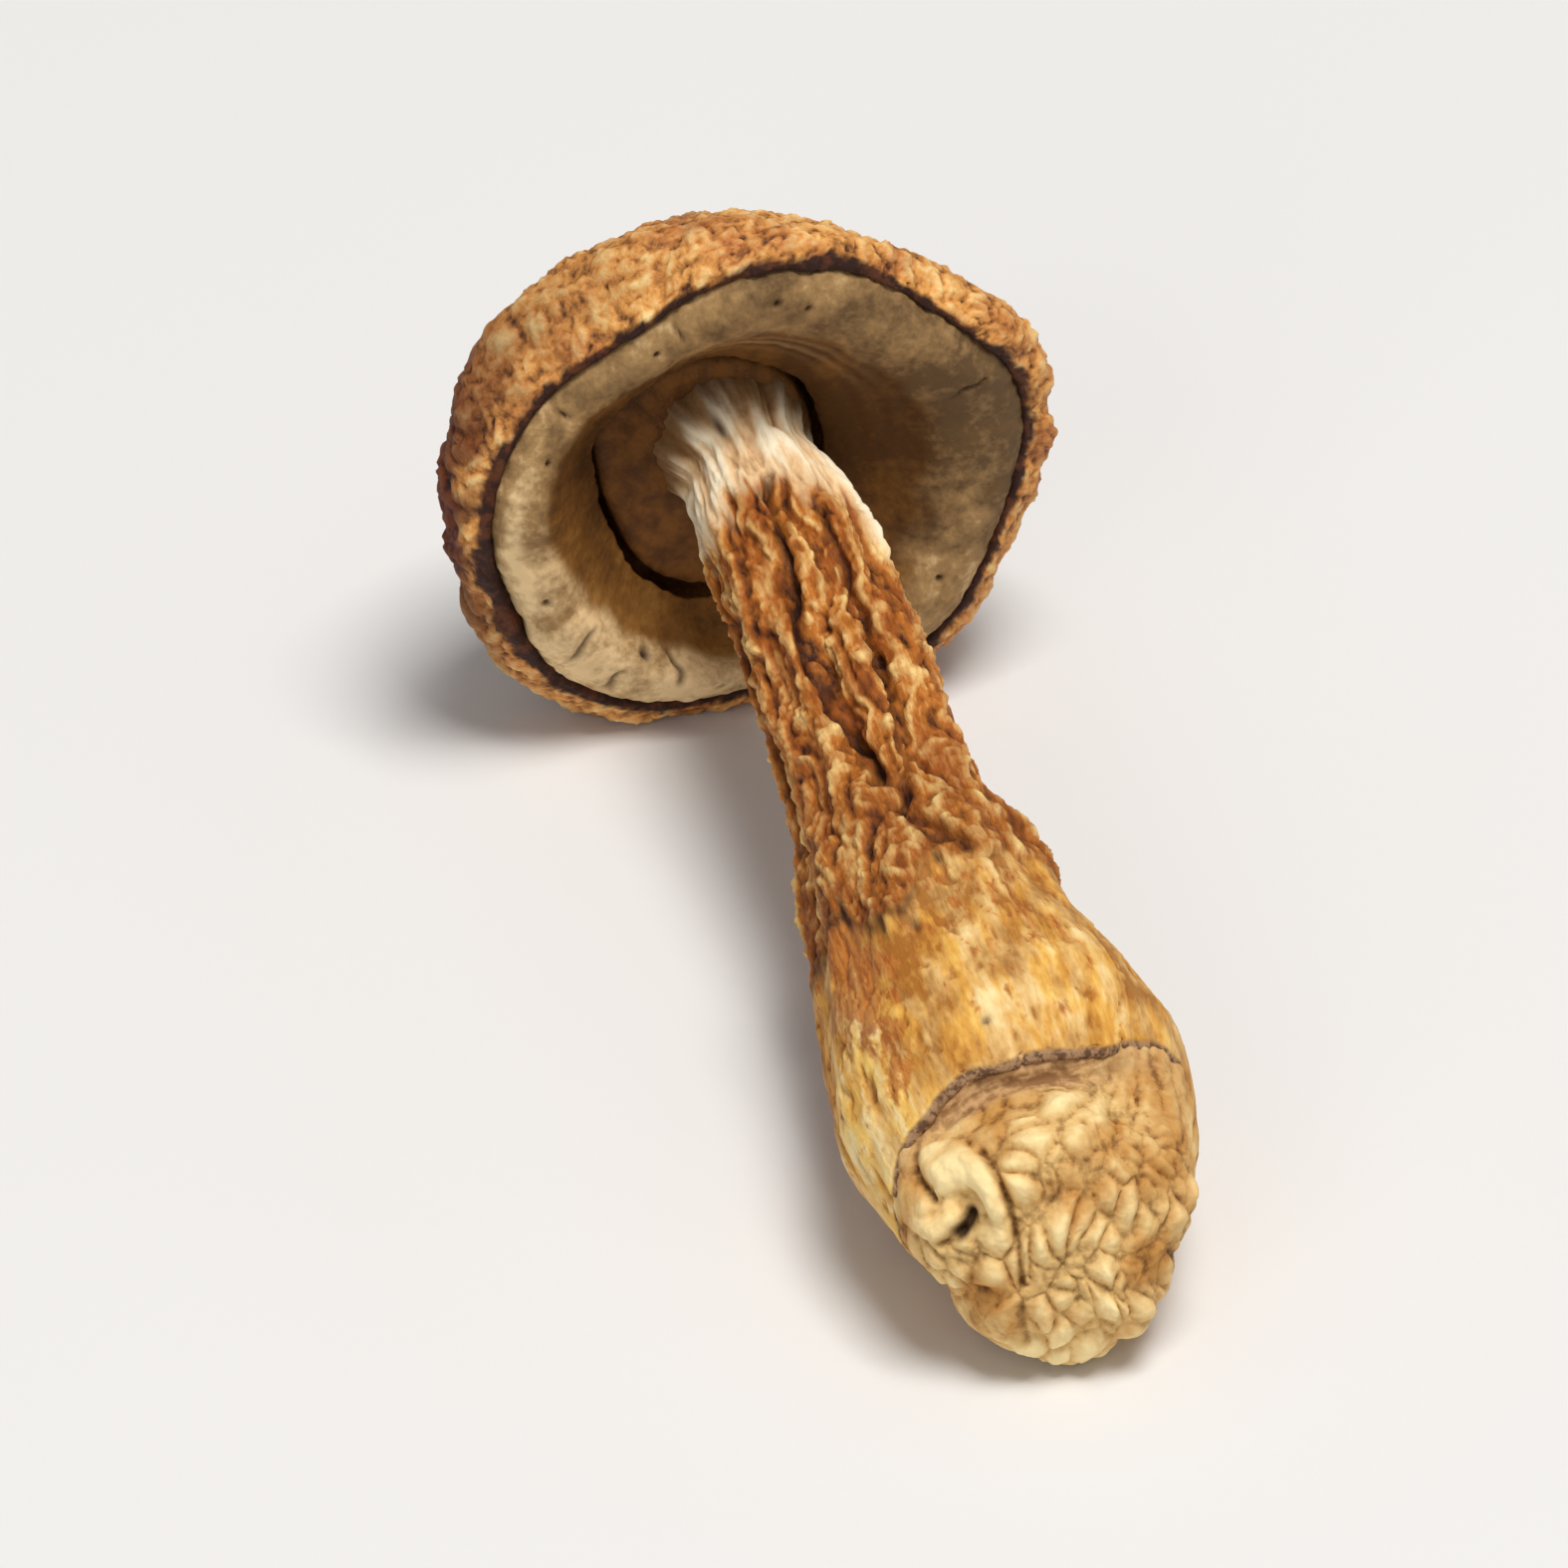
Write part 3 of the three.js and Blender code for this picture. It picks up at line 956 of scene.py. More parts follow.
@dataclass(frozen=True)
class SkinFinish:
    """Shrivelled cap skin: golden near the margin, purple-brown on the crown.

    Attributes:
        crease: Colour in the creases: the skin's own darker creases, with painted shade.
        body: Colour between.
        crests: Colour on the crests: pale worn crests, with painted highlights.
        crown: Colour in the crown's creases, with painted shade.
        crown_crests: Colour on the crown's crests, with painted highlights.
        mauve: Tint of its blotches.
        far_side_brown_and_shade: Tint of its far left side: darker brown skin there, with painted shade.
        margin: Colours of the ragged dark line round the margin, partly painted shade of the gap there, and
            painted shade in the groove behind the veil.
        inside: Colours of the floor behind the veil's torn edge.
    """

    crease: Rgb = linear(84, 42, 18)
    body: Rgb = linear(228, 158, 80)
    crests: Rgb = linear(255, 222, 152)
    crown: Rgb = linear(62, 36, 32)
    crown_crests: Rgb = linear(190, 136, 100)
    mauve: Rgb = linear(196, 152, 140)
    far_side_brown_and_shade: Rgb = linear(112, 66, 42)
    margin: tuple[Rgb, Rgb] = (linear(48, 20, 8), linear(112, 60, 28))
    inside: tuple[Rgb, Rgb] = (linear(124, 78, 24), linear(86, 50, 12))

    def material(self) -> bpy.types.Material:
        """Returns the finish as a Blender material."""
        paint = Paint("shrivelled_cap_skin")
        blotch = paint.noise(3.5, 4, 0.6, 0.4)
        speck = paint.noise(0.42, 3, 0.6, 0.4)
        height = paint.roughened(paint.value("height"), speck, 0.18)
        # Colour by height: the creases are partly painted shade and the crests partly painted highlights.
        colour = paint.shades(height, [(0.04, self.crease), (0.36, self.body), (0.76, self.crests)])
        mauve = paint.span(blotch, 0.46, 0.64, 0.0, 0.6)
        colour = paint.blend(mauve, colour, paint.tinted(colour, self.mauve))
        # Far left side: darker brown skin with painted shade.
        colour = paint.blend(paint.value("far"), colour, paint.tinted(colour, self.far_side_brown_and_shade))
        # The crown likewise: darker creases with painted shade, paler crests with painted highlights.
        dark = paint.shades(height, [(0.1, self.crown), (0.95, self.crown_crests)])
        rust = paint.blend(paint.span(paint.noise(3.0, 4, 0.6, 0.6), 0.5, 0.66, 0.0, 0.8), dark, colour)
        colour = paint.blend(paint.value("crown"), colour, rust)
        red = paint.span(paint.noise(0.7, 4, 0.65), 0.46, 0.64, 0.0, 0.6)
        colour = paint.blend(paint.value("margin"), colour, paint.blend(red, *self.margin))
        cloud = paint.noise(1.2, 4, 0.65)
        stain = paint.blend(paint.span(cloud, 0.35, 0.65), *self.inside)
        colour = paint.blend(paint.value("inside"), colour, stain)
        fibre = paint.bump(speck, 0.07)
        return paint.finish(colour, 0.7, paint.bump(paint.noise(0.14, 3, 0.6), 0.03, fibre), 0.35)


@dataclass(frozen=True)
class VeilFinish:
    """Leathery veil: cream to grey-beige band, olive-brown bowl, cracks and pits, with painted light and
    shade across band and bowl.

    Attributes:
        band: Colours of the rolled band, from its darkest, in painted shade, to its palest, painted lit.
        bowl: Colours inside the bowl, likewise.
        rings: Colour of the fine lines round the bowl.
        crack: Colour of the dark cracks, and painted shade in the sunken cracks and pits.
    """

    band: tuple[Rgb, Rgb, Rgb] = (linear(104, 78, 46), linear(166, 131, 84), linear(240, 208, 156))
    bowl: tuple[Rgb, Rgb, Rgb] = (linear(84, 52, 14), linear(122, 80, 26), linear(152, 108, 50))
    rings: Rgb = linear(190, 154, 108)
    crack: Rgb = linear(54, 30, 14)

    def material(self) -> bpy.types.Material:
        """Returns the finish as a Blender material."""
        paint = Paint("leathery_veil")
        cloud = paint.noise(2.0, 4, 0.6, 0.3)
        grain = paint.noise(0.3, 3, 0.6, 0.2)
        # Painted light and shade from the mesh, with the veil's own random mottling.
        light_shade_and_mottle = paint.math("ADD", paint.value("light_shade_and_mottle"), paint.span(cloud, 0.3, 0.7, -0.22, 0.22))
        light_shade_and_mottle = paint.roughened(light_shade_and_mottle, grain, 0.1)
        places = (0.05, 0.5, 0.95)
        band = paint.shades(light_shade_and_mottle, list(zip(places, self.band)))
        deep = paint.shades(light_shade_and_mottle, list(zip(places, self.bowl)))
        colour = paint.blend(paint.value("bowl"), band, deep)
        colour = paint.blend(paint.value("rings"), colour, self.rings)
        # Dark cracks, with painted shade in the sunken cracks and pits.
        colour = paint.blend(paint.value("crack"), colour, self.crack)
        first = paint.bump(grain, 0.04)
        return paint.finish(colour, 0.75, paint.bump(cloud, 0.06, first), 0.3)


@dataclass(frozen=True)
class StemFinish:
    """Stem skin: pale fibres on top, orange-brown ridges with dark furrows, then cream-yellow.

    Attributes:
        pale: Colours of the fibres on top, from their creases to their crests, with painted shade and
            painted highlights.
        furrow: Colour in the furrows: their own dark brown, with painted shade.
        body: Colour between.
        ridge: Colour on the ridges, with painted highlights.
        brown: Tint of the streaks on the rough skin.
        foot: Colours of the foot's skin, from its creases to its ridges.
        yellow: Tint of the streaks on it.
        fleck: Colours of the flecks on it.
        lip: Colours inside the torn edge.
        root: Painted shade where the stem leaves the cap.
        dark: Colour in the slits and deep furrows, partly painted shade in them, of a painted shadow line
            where the rough skin ends, and of the rough skin's darkening towards the foot.
    """

    pale: tuple[Rgb, Rgb, Rgb] = (linear(162, 118, 78), linear(240, 202, 152), linear(255, 240, 208))
    furrow: Rgb = linear(58, 22, 2)
    body: Rgb = linear(188, 112, 38)
    ridge: Rgb = linear(255, 222, 146)
    brown: Rgb = linear(190, 148, 108)
    foot: tuple[Rgb, Rgb, Rgb] = (linear(170, 118, 58), linear(226, 182, 112), linear(252, 228, 170))
    yellow: Rgb = linear(252, 230, 168)
    fleck: tuple[Rgb, Rgb] = (linear(158, 84, 26), linear(196, 122, 52))
    lip: tuple[Rgb, Rgb] = (linear(162, 126, 92), linear(98, 68, 46))
    root: Rgb = linear(122, 84, 42)
    dark: Rgb = linear(46, 18, 2)

    def material(self) -> bpy.types.Material:
        """Returns the finish as a Blender material."""
        paint = Paint("furrowed_stem_skin")
        lengthwise = paint.stretched((1.0, 0.22, 1.0), (-9.0, 0.0, 0.0))
        fibre = paint.noise(0.26, 3, 0.6, 0.2, lengthwise)
        streak = paint.noise(0.9, 3, 0.6, 0.3, lengthwise)
        speck = paint.noise(0.3, 3, 0.6, 0.2)
        height = paint.roughened(paint.value("height"), fibre, 0.13)
        # Colour by height: the creases are partly painted shade and the ridges partly painted highlights.
        rough = paint.shades(height, [(0.12, self.furrow), (0.47, self.body), (0.88, self.ridge)])
        brown = paint.span(streak, 0.42, 0.62, 0.0, 0.6)
        rough = paint.blend(brown, rough, paint.tinted(rough, self.brown))
        places = (0.15, 0.5, 0.85)
        colour = paint.blend(paint.value("pale"), rough, paint.shades(height, list(zip(places, self.pale))))
        plain = paint.shades(height, list(zip(places, self.foot)))
        yellow = paint.span(streak, 0.4, 0.62)
        plain = paint.blend(yellow, plain, paint.tinted(plain, self.yellow))
        short = paint.noise(0.4, 3, 0.6, 0.4, paint.stretched((1.0, 0.4, 1.0), (-9.0, 0.0, 0.0)))
        flecks = paint.span(paint.math("ADD", short, paint.value("flecks")), 0.58, 0.86, 0.0, 0.9)
        plain = paint.blend(flecks, plain, paint.blend(paint.span(fibre, 0.36, 0.6), *self.fleck))
        colour = paint.blend(paint.value("foot"), colour, plain)
        torn = paint.blend(paint.span(speck, 0.42, 0.6), *self.lip)
        colour = paint.blend(paint.value("lip"), colour, torn)
        # Painted shade where the stem leaves the cap.
        colour = paint.blend(paint.value("root"), colour, self.root)
        colour = paint.blend(paint.value("dark"), colour, self.dark)
        first = paint.bump(speck, 0.04)
        return paint.finish(colour, 0.75, paint.bump(fibre, 0.06, first), 0.3)


@dataclass(frozen=True)
class PadFinish:
    """The foot's crumpled end: cream folds with olive-brown creases inside a dusty brown ring.

    Attributes:
        crease: Colour in the creases: their own olive-brown, with painted shade.
        body: Colour between.
        folds: Colour of the folds, with painted highlights.
        brown_patch_and_shade: Tint of the brown patches, of painted shade at the lower left, and of the
            darker right side.
        ring: Colours of the ring round the folds, also used as painted shade below the lip at the upper
            right.
        dark: Colour in the hole and the deep creases, painted shade in them.
    """

    crease: Rgb = linear(118, 78, 34)
    body: Rgb = linear(224, 184, 118)
    folds: Rgb = linear(255, 230, 170)
    brown_patch_and_shade: Rgb = linear(222, 194, 160)
    ring: tuple[Rgb, Rgb] = (linear(142, 102, 64), linear(208, 166, 116))
    dark: Rgb = linear(52, 28, 10)

    def material(self) -> bpy.types.Material:
        """Returns the finish as a Blender material."""
        paint = Paint("crumpled_foot_end")
        speck = paint.noise(0.35, 3, 0.6, 0.2)
        height = paint.roughened(paint.value("height"), speck, 0.1)
        # Colour by height: the creases are partly painted shade and the folds partly painted highlights.
        colour = paint.shades(height, [(0.06, self.crease), (0.3, self.body), (0.72, self.folds)])
        # Brown patches and painted shade on the pad.
        cloud = paint.math("ADD", paint.noise(2.5, 3, 0.55, 0.3), paint.value("brown_patch_and_shade"))
        brown_patches_and_shade = paint.span(cloud, 0.46, 0.78)
        colour = paint.blend(brown_patches_and_shade, colour, paint.tinted(colour, self.brown_patch_and_shade))
        lined = paint.roughened(paint.value("lines"), speck, 0.2)
        dusty = paint.blend(paint.span(lined, 0.2, 0.8), *self.ring)
        colour = paint.blend(paint.value("ring"), colour, dusty)
        colour = paint.blend(paint.value("dark"), colour, self.dark)
        return paint.finish(colour, 0.8, paint.bump(speck, 0.05), 0.25)


@dataclass(frozen=True)
class FloorFinish:
    """Plain pale floor."""

    shade: float = 0.8

    def material(self) -> bpy.types.Material:
        """Returns the finish as a Blender material."""
        material = bpy.data.materials.new("plain_pale_floor")
        material.use_nodes = True
        shader = material.node_tree.nodes["Principled BSDF"]
        shader.inputs["Base Color"].default_value = (self.shade, self.shade, self.shade, 1.0)
        shader.inputs["Roughness"].default_value = 0.9
        shader.inputs["Specular IOR Level"].default_value = 0.2
        return material


def dress(piece: bpy.types.Object, material: bpy.types.Material) -> bpy.types.Object:
    """Gives a piece its finish and ties it to the part.

    Args:
        piece: The piece.
        material: Its finish.

    Returns:
        The same piece.
    """
    piece.data.materials.append(material)
    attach(piece, BODY)
    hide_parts(NODE)
    LOG.info("%s: %d faces", piece.name, len(piece.data.polygons))
    return piece


def spread(rings: int, columns: int) -> Array:
    """Returns the angle of each column, once for each ring."""
    return np.tile(np.linspace(0, FULL_TURN, columns, endpoint=False), (rings, 1))


@dataclass
class Cap:
    """The cap: its skin from the crown to the rolled margin, and the floor behind the veil.

    Attributes:
        whole: The mushroom's forms.
        columns: Points round each ring.
        skin_rings: Rings on the skin.
        under_rings: Rings on the side that the veil hides and on the floor that shows in its hole.
        side_height: Height of the wrinkles on the side.
        crown_height: Height of the wrinkles on the crown.
        ragged: How far the skin's torn edge strays.
    """

    whole: Mushroom
    columns: int = 480
    skin_rings: int = 150
    under_rings: int = 53
    side_height: float = 0.5
    crown_height: float = 1.0
    ragged: float = 0.3

    @property
    def under_outline(self) -> list[tuple[float, float]]:
        """Returns the underside as radius and depth: groove, hidden side, gap, floor."""
        hidden = [(10.2, 0), (9.9, 0.5), (9.7, 1.3), (8.8, 2.6), (7.4, 3.1), (6.2, 3.0)]
        gap = [(5.6, 3.3), (5.5, 3.9), (5.2, 4.2), (4.8, 3.9), (4.6, 3.1)]
        return [*hidden, *gap, (4.45, 2.5), (4.0, 2.3), (3.2, 2.3), (2.4, 2.2), (0, 2.1)]

    @staticmethod
    def wrinkles(local: Array, crown: Array) -> Array:
        """Draws the skin's wrinkles.

        Args:
            local: Places in the cap's own directions.
            crown: How far each place belongs to the crown.

        Returns:
            The wrinkles' height, of 0 to 1.
        """
        grain, lumps, buckles = Grain(11), Lumps(12), Wrinkles(5, 22, 0.0)
        moved = grain.sway(grain.sway(local, 2.6, 0.8), 0.9, 0.3)
        side = 0.4 * lumps(moved, 1.05, 1.5) + 0.33 * lumps(moved + 9, 0.58, 1.4)
        waves = buckles(moved[..., 0] / 33, moved[..., 1] / 33)
        top = 0.42 * crest(waves, 0.8) + 0.28 * grain.crests(moved, 1.7, 3, 0.6)
        rough = grain.layers(local, 0.7, 3, 0.6)
        return np.clip(mix(side, top, crown) + 0.24 * rough + 0.12, 0, 1)

    def dark_edge(self, angle: Array, local: Array, from_edge: Array) -> Array:
        """Finds the dark, ragged line along the skin's torn edge, widened in places as painted shade of the
        gap behind it.

        Args:
            angle: Angle of each point.
            local: Places in the cap's own directions.
            from_edge: Distance of each point from the edge, along the skin.

        Returns:
            How dark each point is, of 0 to 1.
        """
        chunks = swells(angle, [(1.25, 0.3, 0.35), (3.45, 0.35, 0.45), (2.4, 0.6, 0.16)])
        width = 0.24 + chunks + 0.38 * Grain(22).layers(local, 0.9, 3, 0.7)
        return fade(0.12, -0.06, from_edge - width)

    def build(self) -> bpy.types.Object:
        """Returns the cap as a dressed piece."""
        form = self.whole.cap
        line = Curve(form.skin_outline)
        skin = line.spaced(self.skin_rings)[1:]
        under = Curve(self.under_outline).spaced(self.under_rings)[1:-1]
        outline = np.vstack([skin, under])
        angle = spread(len(outline), self.columns)
        radius, depth = outline.T[..., None] + 0 * angle
        row = np.arange(len(outline))[:, None] + 0 * angle
        on_skin = row < len(skin)
        from_edge = np.maximum(len(skin) - 1 - row, 0) * line.length / self.skin_rings
        points = np.where(
            on_skin[..., None],
            form.skin_point(angle, radius, depth),
            form.inner_point(angle, radius, depth),
        )
        grain = Grain(21)
        local = form.local(points)
        near_edge = bell(radius - form.rim_radius, 0.45) * fade(1.6, 0.3, depth)
        torn = self.ragged * grain.layers(local, 1.5, 4, 0.65) * near_edge
        points = points + form.axes[2] * torn[..., None]
        first = form.skin_point(*np.zeros((2, 1)), np.array([form.height]))[0]
        last = form.inner_point(*np.zeros((2, 1)), np.array(self.under_outline[-1][1:]))[0]
        base = Surface(points, Ends.POINTS, first, last)
        crown = fade(4.0, 7.0, depth + 1.2 * grain(points, 2.5)) * on_skin
        height = self.wrinkles(local, crown)
        reach = np.where(on_skin, mix(0.25, 1, fade(0.0, 0.9, from_edge)), 0.3)
        surface = base.raised((height - 0.44) * mix(self.side_height, self.crown_height, crown) * reach)
        # On the underside, the groove behind the veil takes the margin's dark colour as painted shade.
        groove = np.where(on_skin, self.dark_edge(angle, local, from_edge), fade(6.4, 7.0, radius))
        # Strength of the darker brown and the painted shade round the far left side.
        far_side_brown_and_shade = mix(0.1, 1, bell(turn(angle, 3.12), 0.78))
        surface.values = {
            "height": height,
            "far": fade(-0.3, 1.1, depth + 0.9 * grain(points + 60, 1.6)) * far_side_brown_and_shade * on_skin,
            "crown": crown,
            "margin": groove,
            "inside": fade(7.0, 6.4, radius) * ~on_skin,
        }
        return dress(surface.build("cap", self.whole.placed), SkinFinish().material())


@dataclass
class Veil:
    """The leathery veil: a ring inside the margin, torn open round the stem.

    Attributes:
        whole: The mushroom's forms.
        columns: Points round each ring.
        rings: Points round the veil's section.
        cracks: Cracks across the band as angle, inner radius, outer radius and width.
        pits: Small holes as angle, radius and width.
    """

    whole: Mushroom
    columns: int = 520
    rings: int = 184
    cracks: tuple[tuple[float, float, float, float], ...] = (
        (3.83, 7.8, 9.2, 0.15),
        (4.38, 6.8, 8.5, 0.15),
        (4.1, 8.6, 9.6, 0.12),
        (4.78, 7.6, 9.2, 0.13),
        (1.93, 8.9, 9.7, 0.12),
        (2.55, 8.9, 9.6, 0.09),
        (0.45, 8.4, 9.4, 0.09),
        (5.35, 7.9, 9.3, 0.1),
    )
    pits: tuple[tuple[float, float, float], ...] = (
        (4.21, 7.26, 0.26),
        (3.5, 8.9, 0.16),
        (4.55, 8.9, 0.13),
        (1.52, 9.17, 0.13),
        (2.06, 9.07, 0.13),
        (1.38, 8.95, 0.1),
        (5.7, 8.6, 0.12),
        (2.75, 8.7, 0.1),
    )

    def cracked(self, angle: Array, radius: Array, stray: Array) -> Array:
        """Draws the cracks and pits.

        Args:
            angle: Angle of each point.
            radius: Radius of each point.
            stray: How far the cracks stray sideways, in millimetres.

        Returns:
            How deep each point lies in them, of 0 to 1.
        """
        deep = np.zeros_like(angle)
        for place, inner, outer, width in self.cracks:
            across = turn(angle, place) * radius + stray
            along = fade(inner - 0.5, inner + 0.4, radius) * fade(outer + 0.3, outer - 0.2, radius)
            deep = np.maximum(deep, 0.75 * bell(across, width) * along)
        for place, middle, width in self.pits:
            deep = np.maximum(deep, bell(np.hypot(turn(angle, place) * radius, radius - middle), width))
        return deep

    @staticmethod
    def light_shade_and_mottle(angle: Array, radius: Array, grain: Grain, local: Array) -> Array:
        """Finds the veil's painted light and shade: palest, painted lit, at its lower left, and in painted
        shade above and on the right.

        Args:
            angle: Angle of each point.
            radius: Radius of each point.
            grain: Noise that breaks it up.
            local: Places in the cap's own directions.

        Returns:
            How pale each point is, of 0 to 1.
        """
        # Painted light at the lower left, a painted highlight on the band's lit crest, painted shade on the
        # right, and darker towards the hole; the mottling is the veil's own.
        pale = 0.34 + swells(angle, [(4.1, 0.75, 0.54), (5.6, 0.45, 0.2)])
        crest_lit = 0.5 * bell(turn(angle, 3.15), 0.3) * bell(radius - 9.5, 0.35)
        uneven = swells(angle, [(2.4, 0.45, 0.1), (0.3, 0.7, -0.28)])
        mottled = grain.layers(local, 2.2, 3, 0.6) + 0.8 * grain.layers(local, 0.7, 3, 0.7)
        return pale * mix(0.6, 1, fade(5.5, 8.0, radius)) + crest_lit + uneven + 0.16 * mottled

    def build(self) -> bpy.types.Object:
        """Returns the veil as a dressed piece."""
        form = self.whole.cap
        rolled = [(10.1, 1.1), (10.12, 0.4), (9.95, -0.05), (9.5, -0.4), (8.9, -0.58), (8.2, -0.55)]
        front = [*rolled, (7.5, -0.2), (6.9, 0.35), (6.1, 1.05), (5.4, 1.55), (4.9, 2.0)]
        back = [(4.87, 2.2), (5.3, 2.2), (6.3, 1.75), (7.4, 1.3), (8.6, 1.1), (9.5, 1.6)]
        loop = Curve([*front, *back, front[0]]).spaced(self.rings)[:-1]
        angle = spread(len(loop), self.columns)
        radius, depth = loop.T[..., None] + 0 * angle
        grain = Grain(31)
        first = form.local(form.inner_point(angle, radius, depth))
        wide_gap = 0.3 * bell(turn(angle, 3.5), 0.25) * fade(8.9, 9.8, radius)
        ragged_rim = 0.16 * grain.layers(first, 1.0, 3, 0.65) * fade(9.1, 9.8, radius)
        ragged_hole = 0.22 * grain.layers(first, 1.4, 3, 0.6) * fade(5.9, 4.9, radius)
        torn = radius - wide_gap + ragged_rim + ragged_hole
        base = Surface(form.inner_point(angle, torn, depth), Ends.LOOP)
        local = form.local(base.points)
        on_front = np.arange(len(loop))[:, None] < len(loop) * 0.55
        band = bell(radius - 8.4, 1.2)
        pleats = 0.09 * np.sin(7 * angle + 1.2) + 0.06 * np.sin(13 * angle + 2 * np.sin(2 * angle))
        lumps = 0.16 * np.abs(grain.layers(local, 2.6, 3, 0.5)) + 0.05 * grain.layers(local, 0.8, 3, 0.6)
        deep = self.cracked(angle, radius, 0.3 * grain(local, 0.9)) * on_front
        fan = np.stack([8 * np.cos(angle), 8 * np.sin(angle), 0.2 * radius], axis=-1)
        fibres = grain.layers(fan, 0.5, 2, 0.6)
        ripples = 0.5 + 0.5 * np.sin(11.0 * radius + 1.2 * grain(local, 2.0))
        rings = ripples * bell(turn(angle, 1.5), 0.7) * bell(radius - 6.6, 0.6) * on_front
        relief = band * pleats + lumps * fade(5.0, 6.5, radius) + 0.05 * fibres + 0.05 * rings
        wide = swells(angle, [(4.25, 0.65, 0.9), (3.0, 0.5, -0.8)])
        surface = base.raised(relief - 0.3 * deep)
        surface.values = {
            "bowl": fade(7.9, 7.15, radius + wide + 0.4 * grain(local, 1.6)),
            "crack": np.clip(deep, 0, 1),
            "rings": 0.45 * rings,
            "light_shade_and_mottle": self.light_shade_and_mottle(angle, radius, grain, local) + 0.1 * fibres,
        }
        return dress(surface.build("veil", self.whole.placed), VeilFinish().material())


@dataclass
class Stem:
    """The stem with its foot's skin, which ends in a torn lip.

    Attributes:
        whole: The mushroom's forms.
        columns: Points round each ring.
        rings: Rings along the stem.
        lip_rings: Rings that close the lip.
        ridges: Height of the lengthwise ridges.
        furrows: Deep furrows drawn in millimetres round a stem of the given girth and in front
            of the rim, each with its width and depth.
        girth: Radius of the stem where the furrows are drawn.
        slits: Dark slits, partly painted shade in them, as angle, distance in front of the rim, half length
            and width.
        marks: Brown flecks on the foot, likewise.
        streak: The brown streak that runs down the foot from the rough skin, drawn as the furrows.
    """

    whole: Mushroom
    columns: int = 270
    rings: int = 336
    lip_rings: int = 24
    ridges: float = 0.75
    girth: float = 3.3
    furrows: tuple[tuple[Trace, float, float], ...] = (
        (
            Trace((5.8, 2.2), (6.4, 5.6), (6.9, 8.0), (7.1, 11.5), (6.9, 14.5), (6.4, 16.8), (6.0, 19.2)),
            0.22,
            0.9,
        ),
        (
            Trace((4.5, 4.8), (4.6, 7.9), (4.3, 10.7), (4.3, 13.5), (4.55, 16.5), (5.1, 19.5), (5.6, 21.2)),
            0.18,
            0.6,
        ),
        (Trace((5.6, 21.2), (4.95, 23.0), (4.3, 25.1), (3.6, 25.6)), 0.2, 0.6),
        (
            Trace((10.5, -0.3), (11.1, 2.3), (11.0, 5.7), (11.1, 12.0), (11.0, 16.0), (10.6, 19.2)),
            0.24,
            0.6,
        ),
    )
    slits: tuple[tuple[float, float, float, float], ...] = (
        (2.02, -1.3, 0.6, 0.16),
        (1.8, 36.74, 0.2, 0.17),
        (2.65, 22.5, 0.9, 0.16),
        (2.48, 25.0, 0.9, 0.15),
        (2.18, 27.3, 0.7, 0.13),
        (1.95, 28.3, 0.5, 0.12),
        (1.59, 24.5, 0.5, 0.13),
        (0.59, 25.6, 0.35, 0.2),
    )
    marks: tuple[tuple[float, float, float, float], ...] = (
        (1.95, 33.9, 0.9, 0.16),
        (1.68, 31.8, 1.0, 0.18),
        (1.64, 33.7, 0.8, 0.16),
        (1.62, 35.7, 0.6, 0.14),
        (1.52, 32.8, 0.8, 0.16),
        (1.36, 29.8, 1.2, 0.2),
        (1.22, 28.9, 1.3, 0.2),
        (1.22, 30.5, 0.8, 0.16),
        (1.05, 31.1, 1.0, 0.18),
        (1.01, 34.4, 0.5, 0.14),
        (2.23, 30.1, 1.2, 0.22),
    )
    streak: Trace = Trace((8.8, 25.5), (8.4, 29.0), (8.0, 33.0), (8.0, 36.9))

    def spots(self, angle: Array, along: Array, places: Sequence[Sequence[float]]) -> Array:
        """Draws small lengthwise spots.

        Args:
            angle: Angle round the stem.
            along: Distance in front of the rim.
            places: The spots as angle, distance in front of the rim, half length and width.

        Returns:
            How far each point lies in them, of 0 to 1.
        """
        inside = np.zeros_like(angle)
        for place, middle, half, width in places:
            across = turn(angle, place) * np.interp(along, *self.whole.stem.radii.T)
            inside = np.maximum(inside, np.exp(-((across / width) ** 2) - ((along - middle) / half) ** 2))
        return inside

    def furrowed(self, angle: Array, along: Array, stray: Array) -> Array:
        """Draws the deep furrows.

        Args:
            angle: Angle round the stem.
            along: Distance in front of the rim.
            stray: How far the furrows stray sideways, in millimetres.

        Returns:
            How deep each point lies in them, of 0 to 1.
        """
        across = self.girth * angle + stray
        return sum(depth * line.bell(across, along, width) for line, width, depth in self.furrows)

    def ridged(self, angle: Array, along: Array, flat: Array) -> Array:
        """Draws the rough skin's wavy, branching ridges.

        Args:
            angle: Angle round the stem.
            along: Distance in front of the rim.
            flat: Places with the stem's bend taken out.

        Returns:
            The ridges' height, of 0 to 1.
        """
        grain, lumps = Grain(42), Lumps(43)
        moved = grain.sway(grain.sway(flat, 3.2, 0.8), 1.1, 0.28)
        wavy = angle / FULL_TURN + 0.04 * grain(flat, 2.8) + 0.02 * grain(flat, 1.2)
        long = 0.4 * crest(Wrinkles(14, 15, 0.5)(wavy, along / 50), 0.75)
        fine = 0.24 * crest(Wrinkles(15, 32, 0.4)(wavy, along / 48), 0.8)
        knots = 0.22 * lumps(moved, 1.05, 1.8) + 0.22 * lumps(moved + 7, 0.55, 1.4)
        return long + fine + knots + 0.12 * grain.layers(flat, 0.7, 3, 0.6) - 0.04

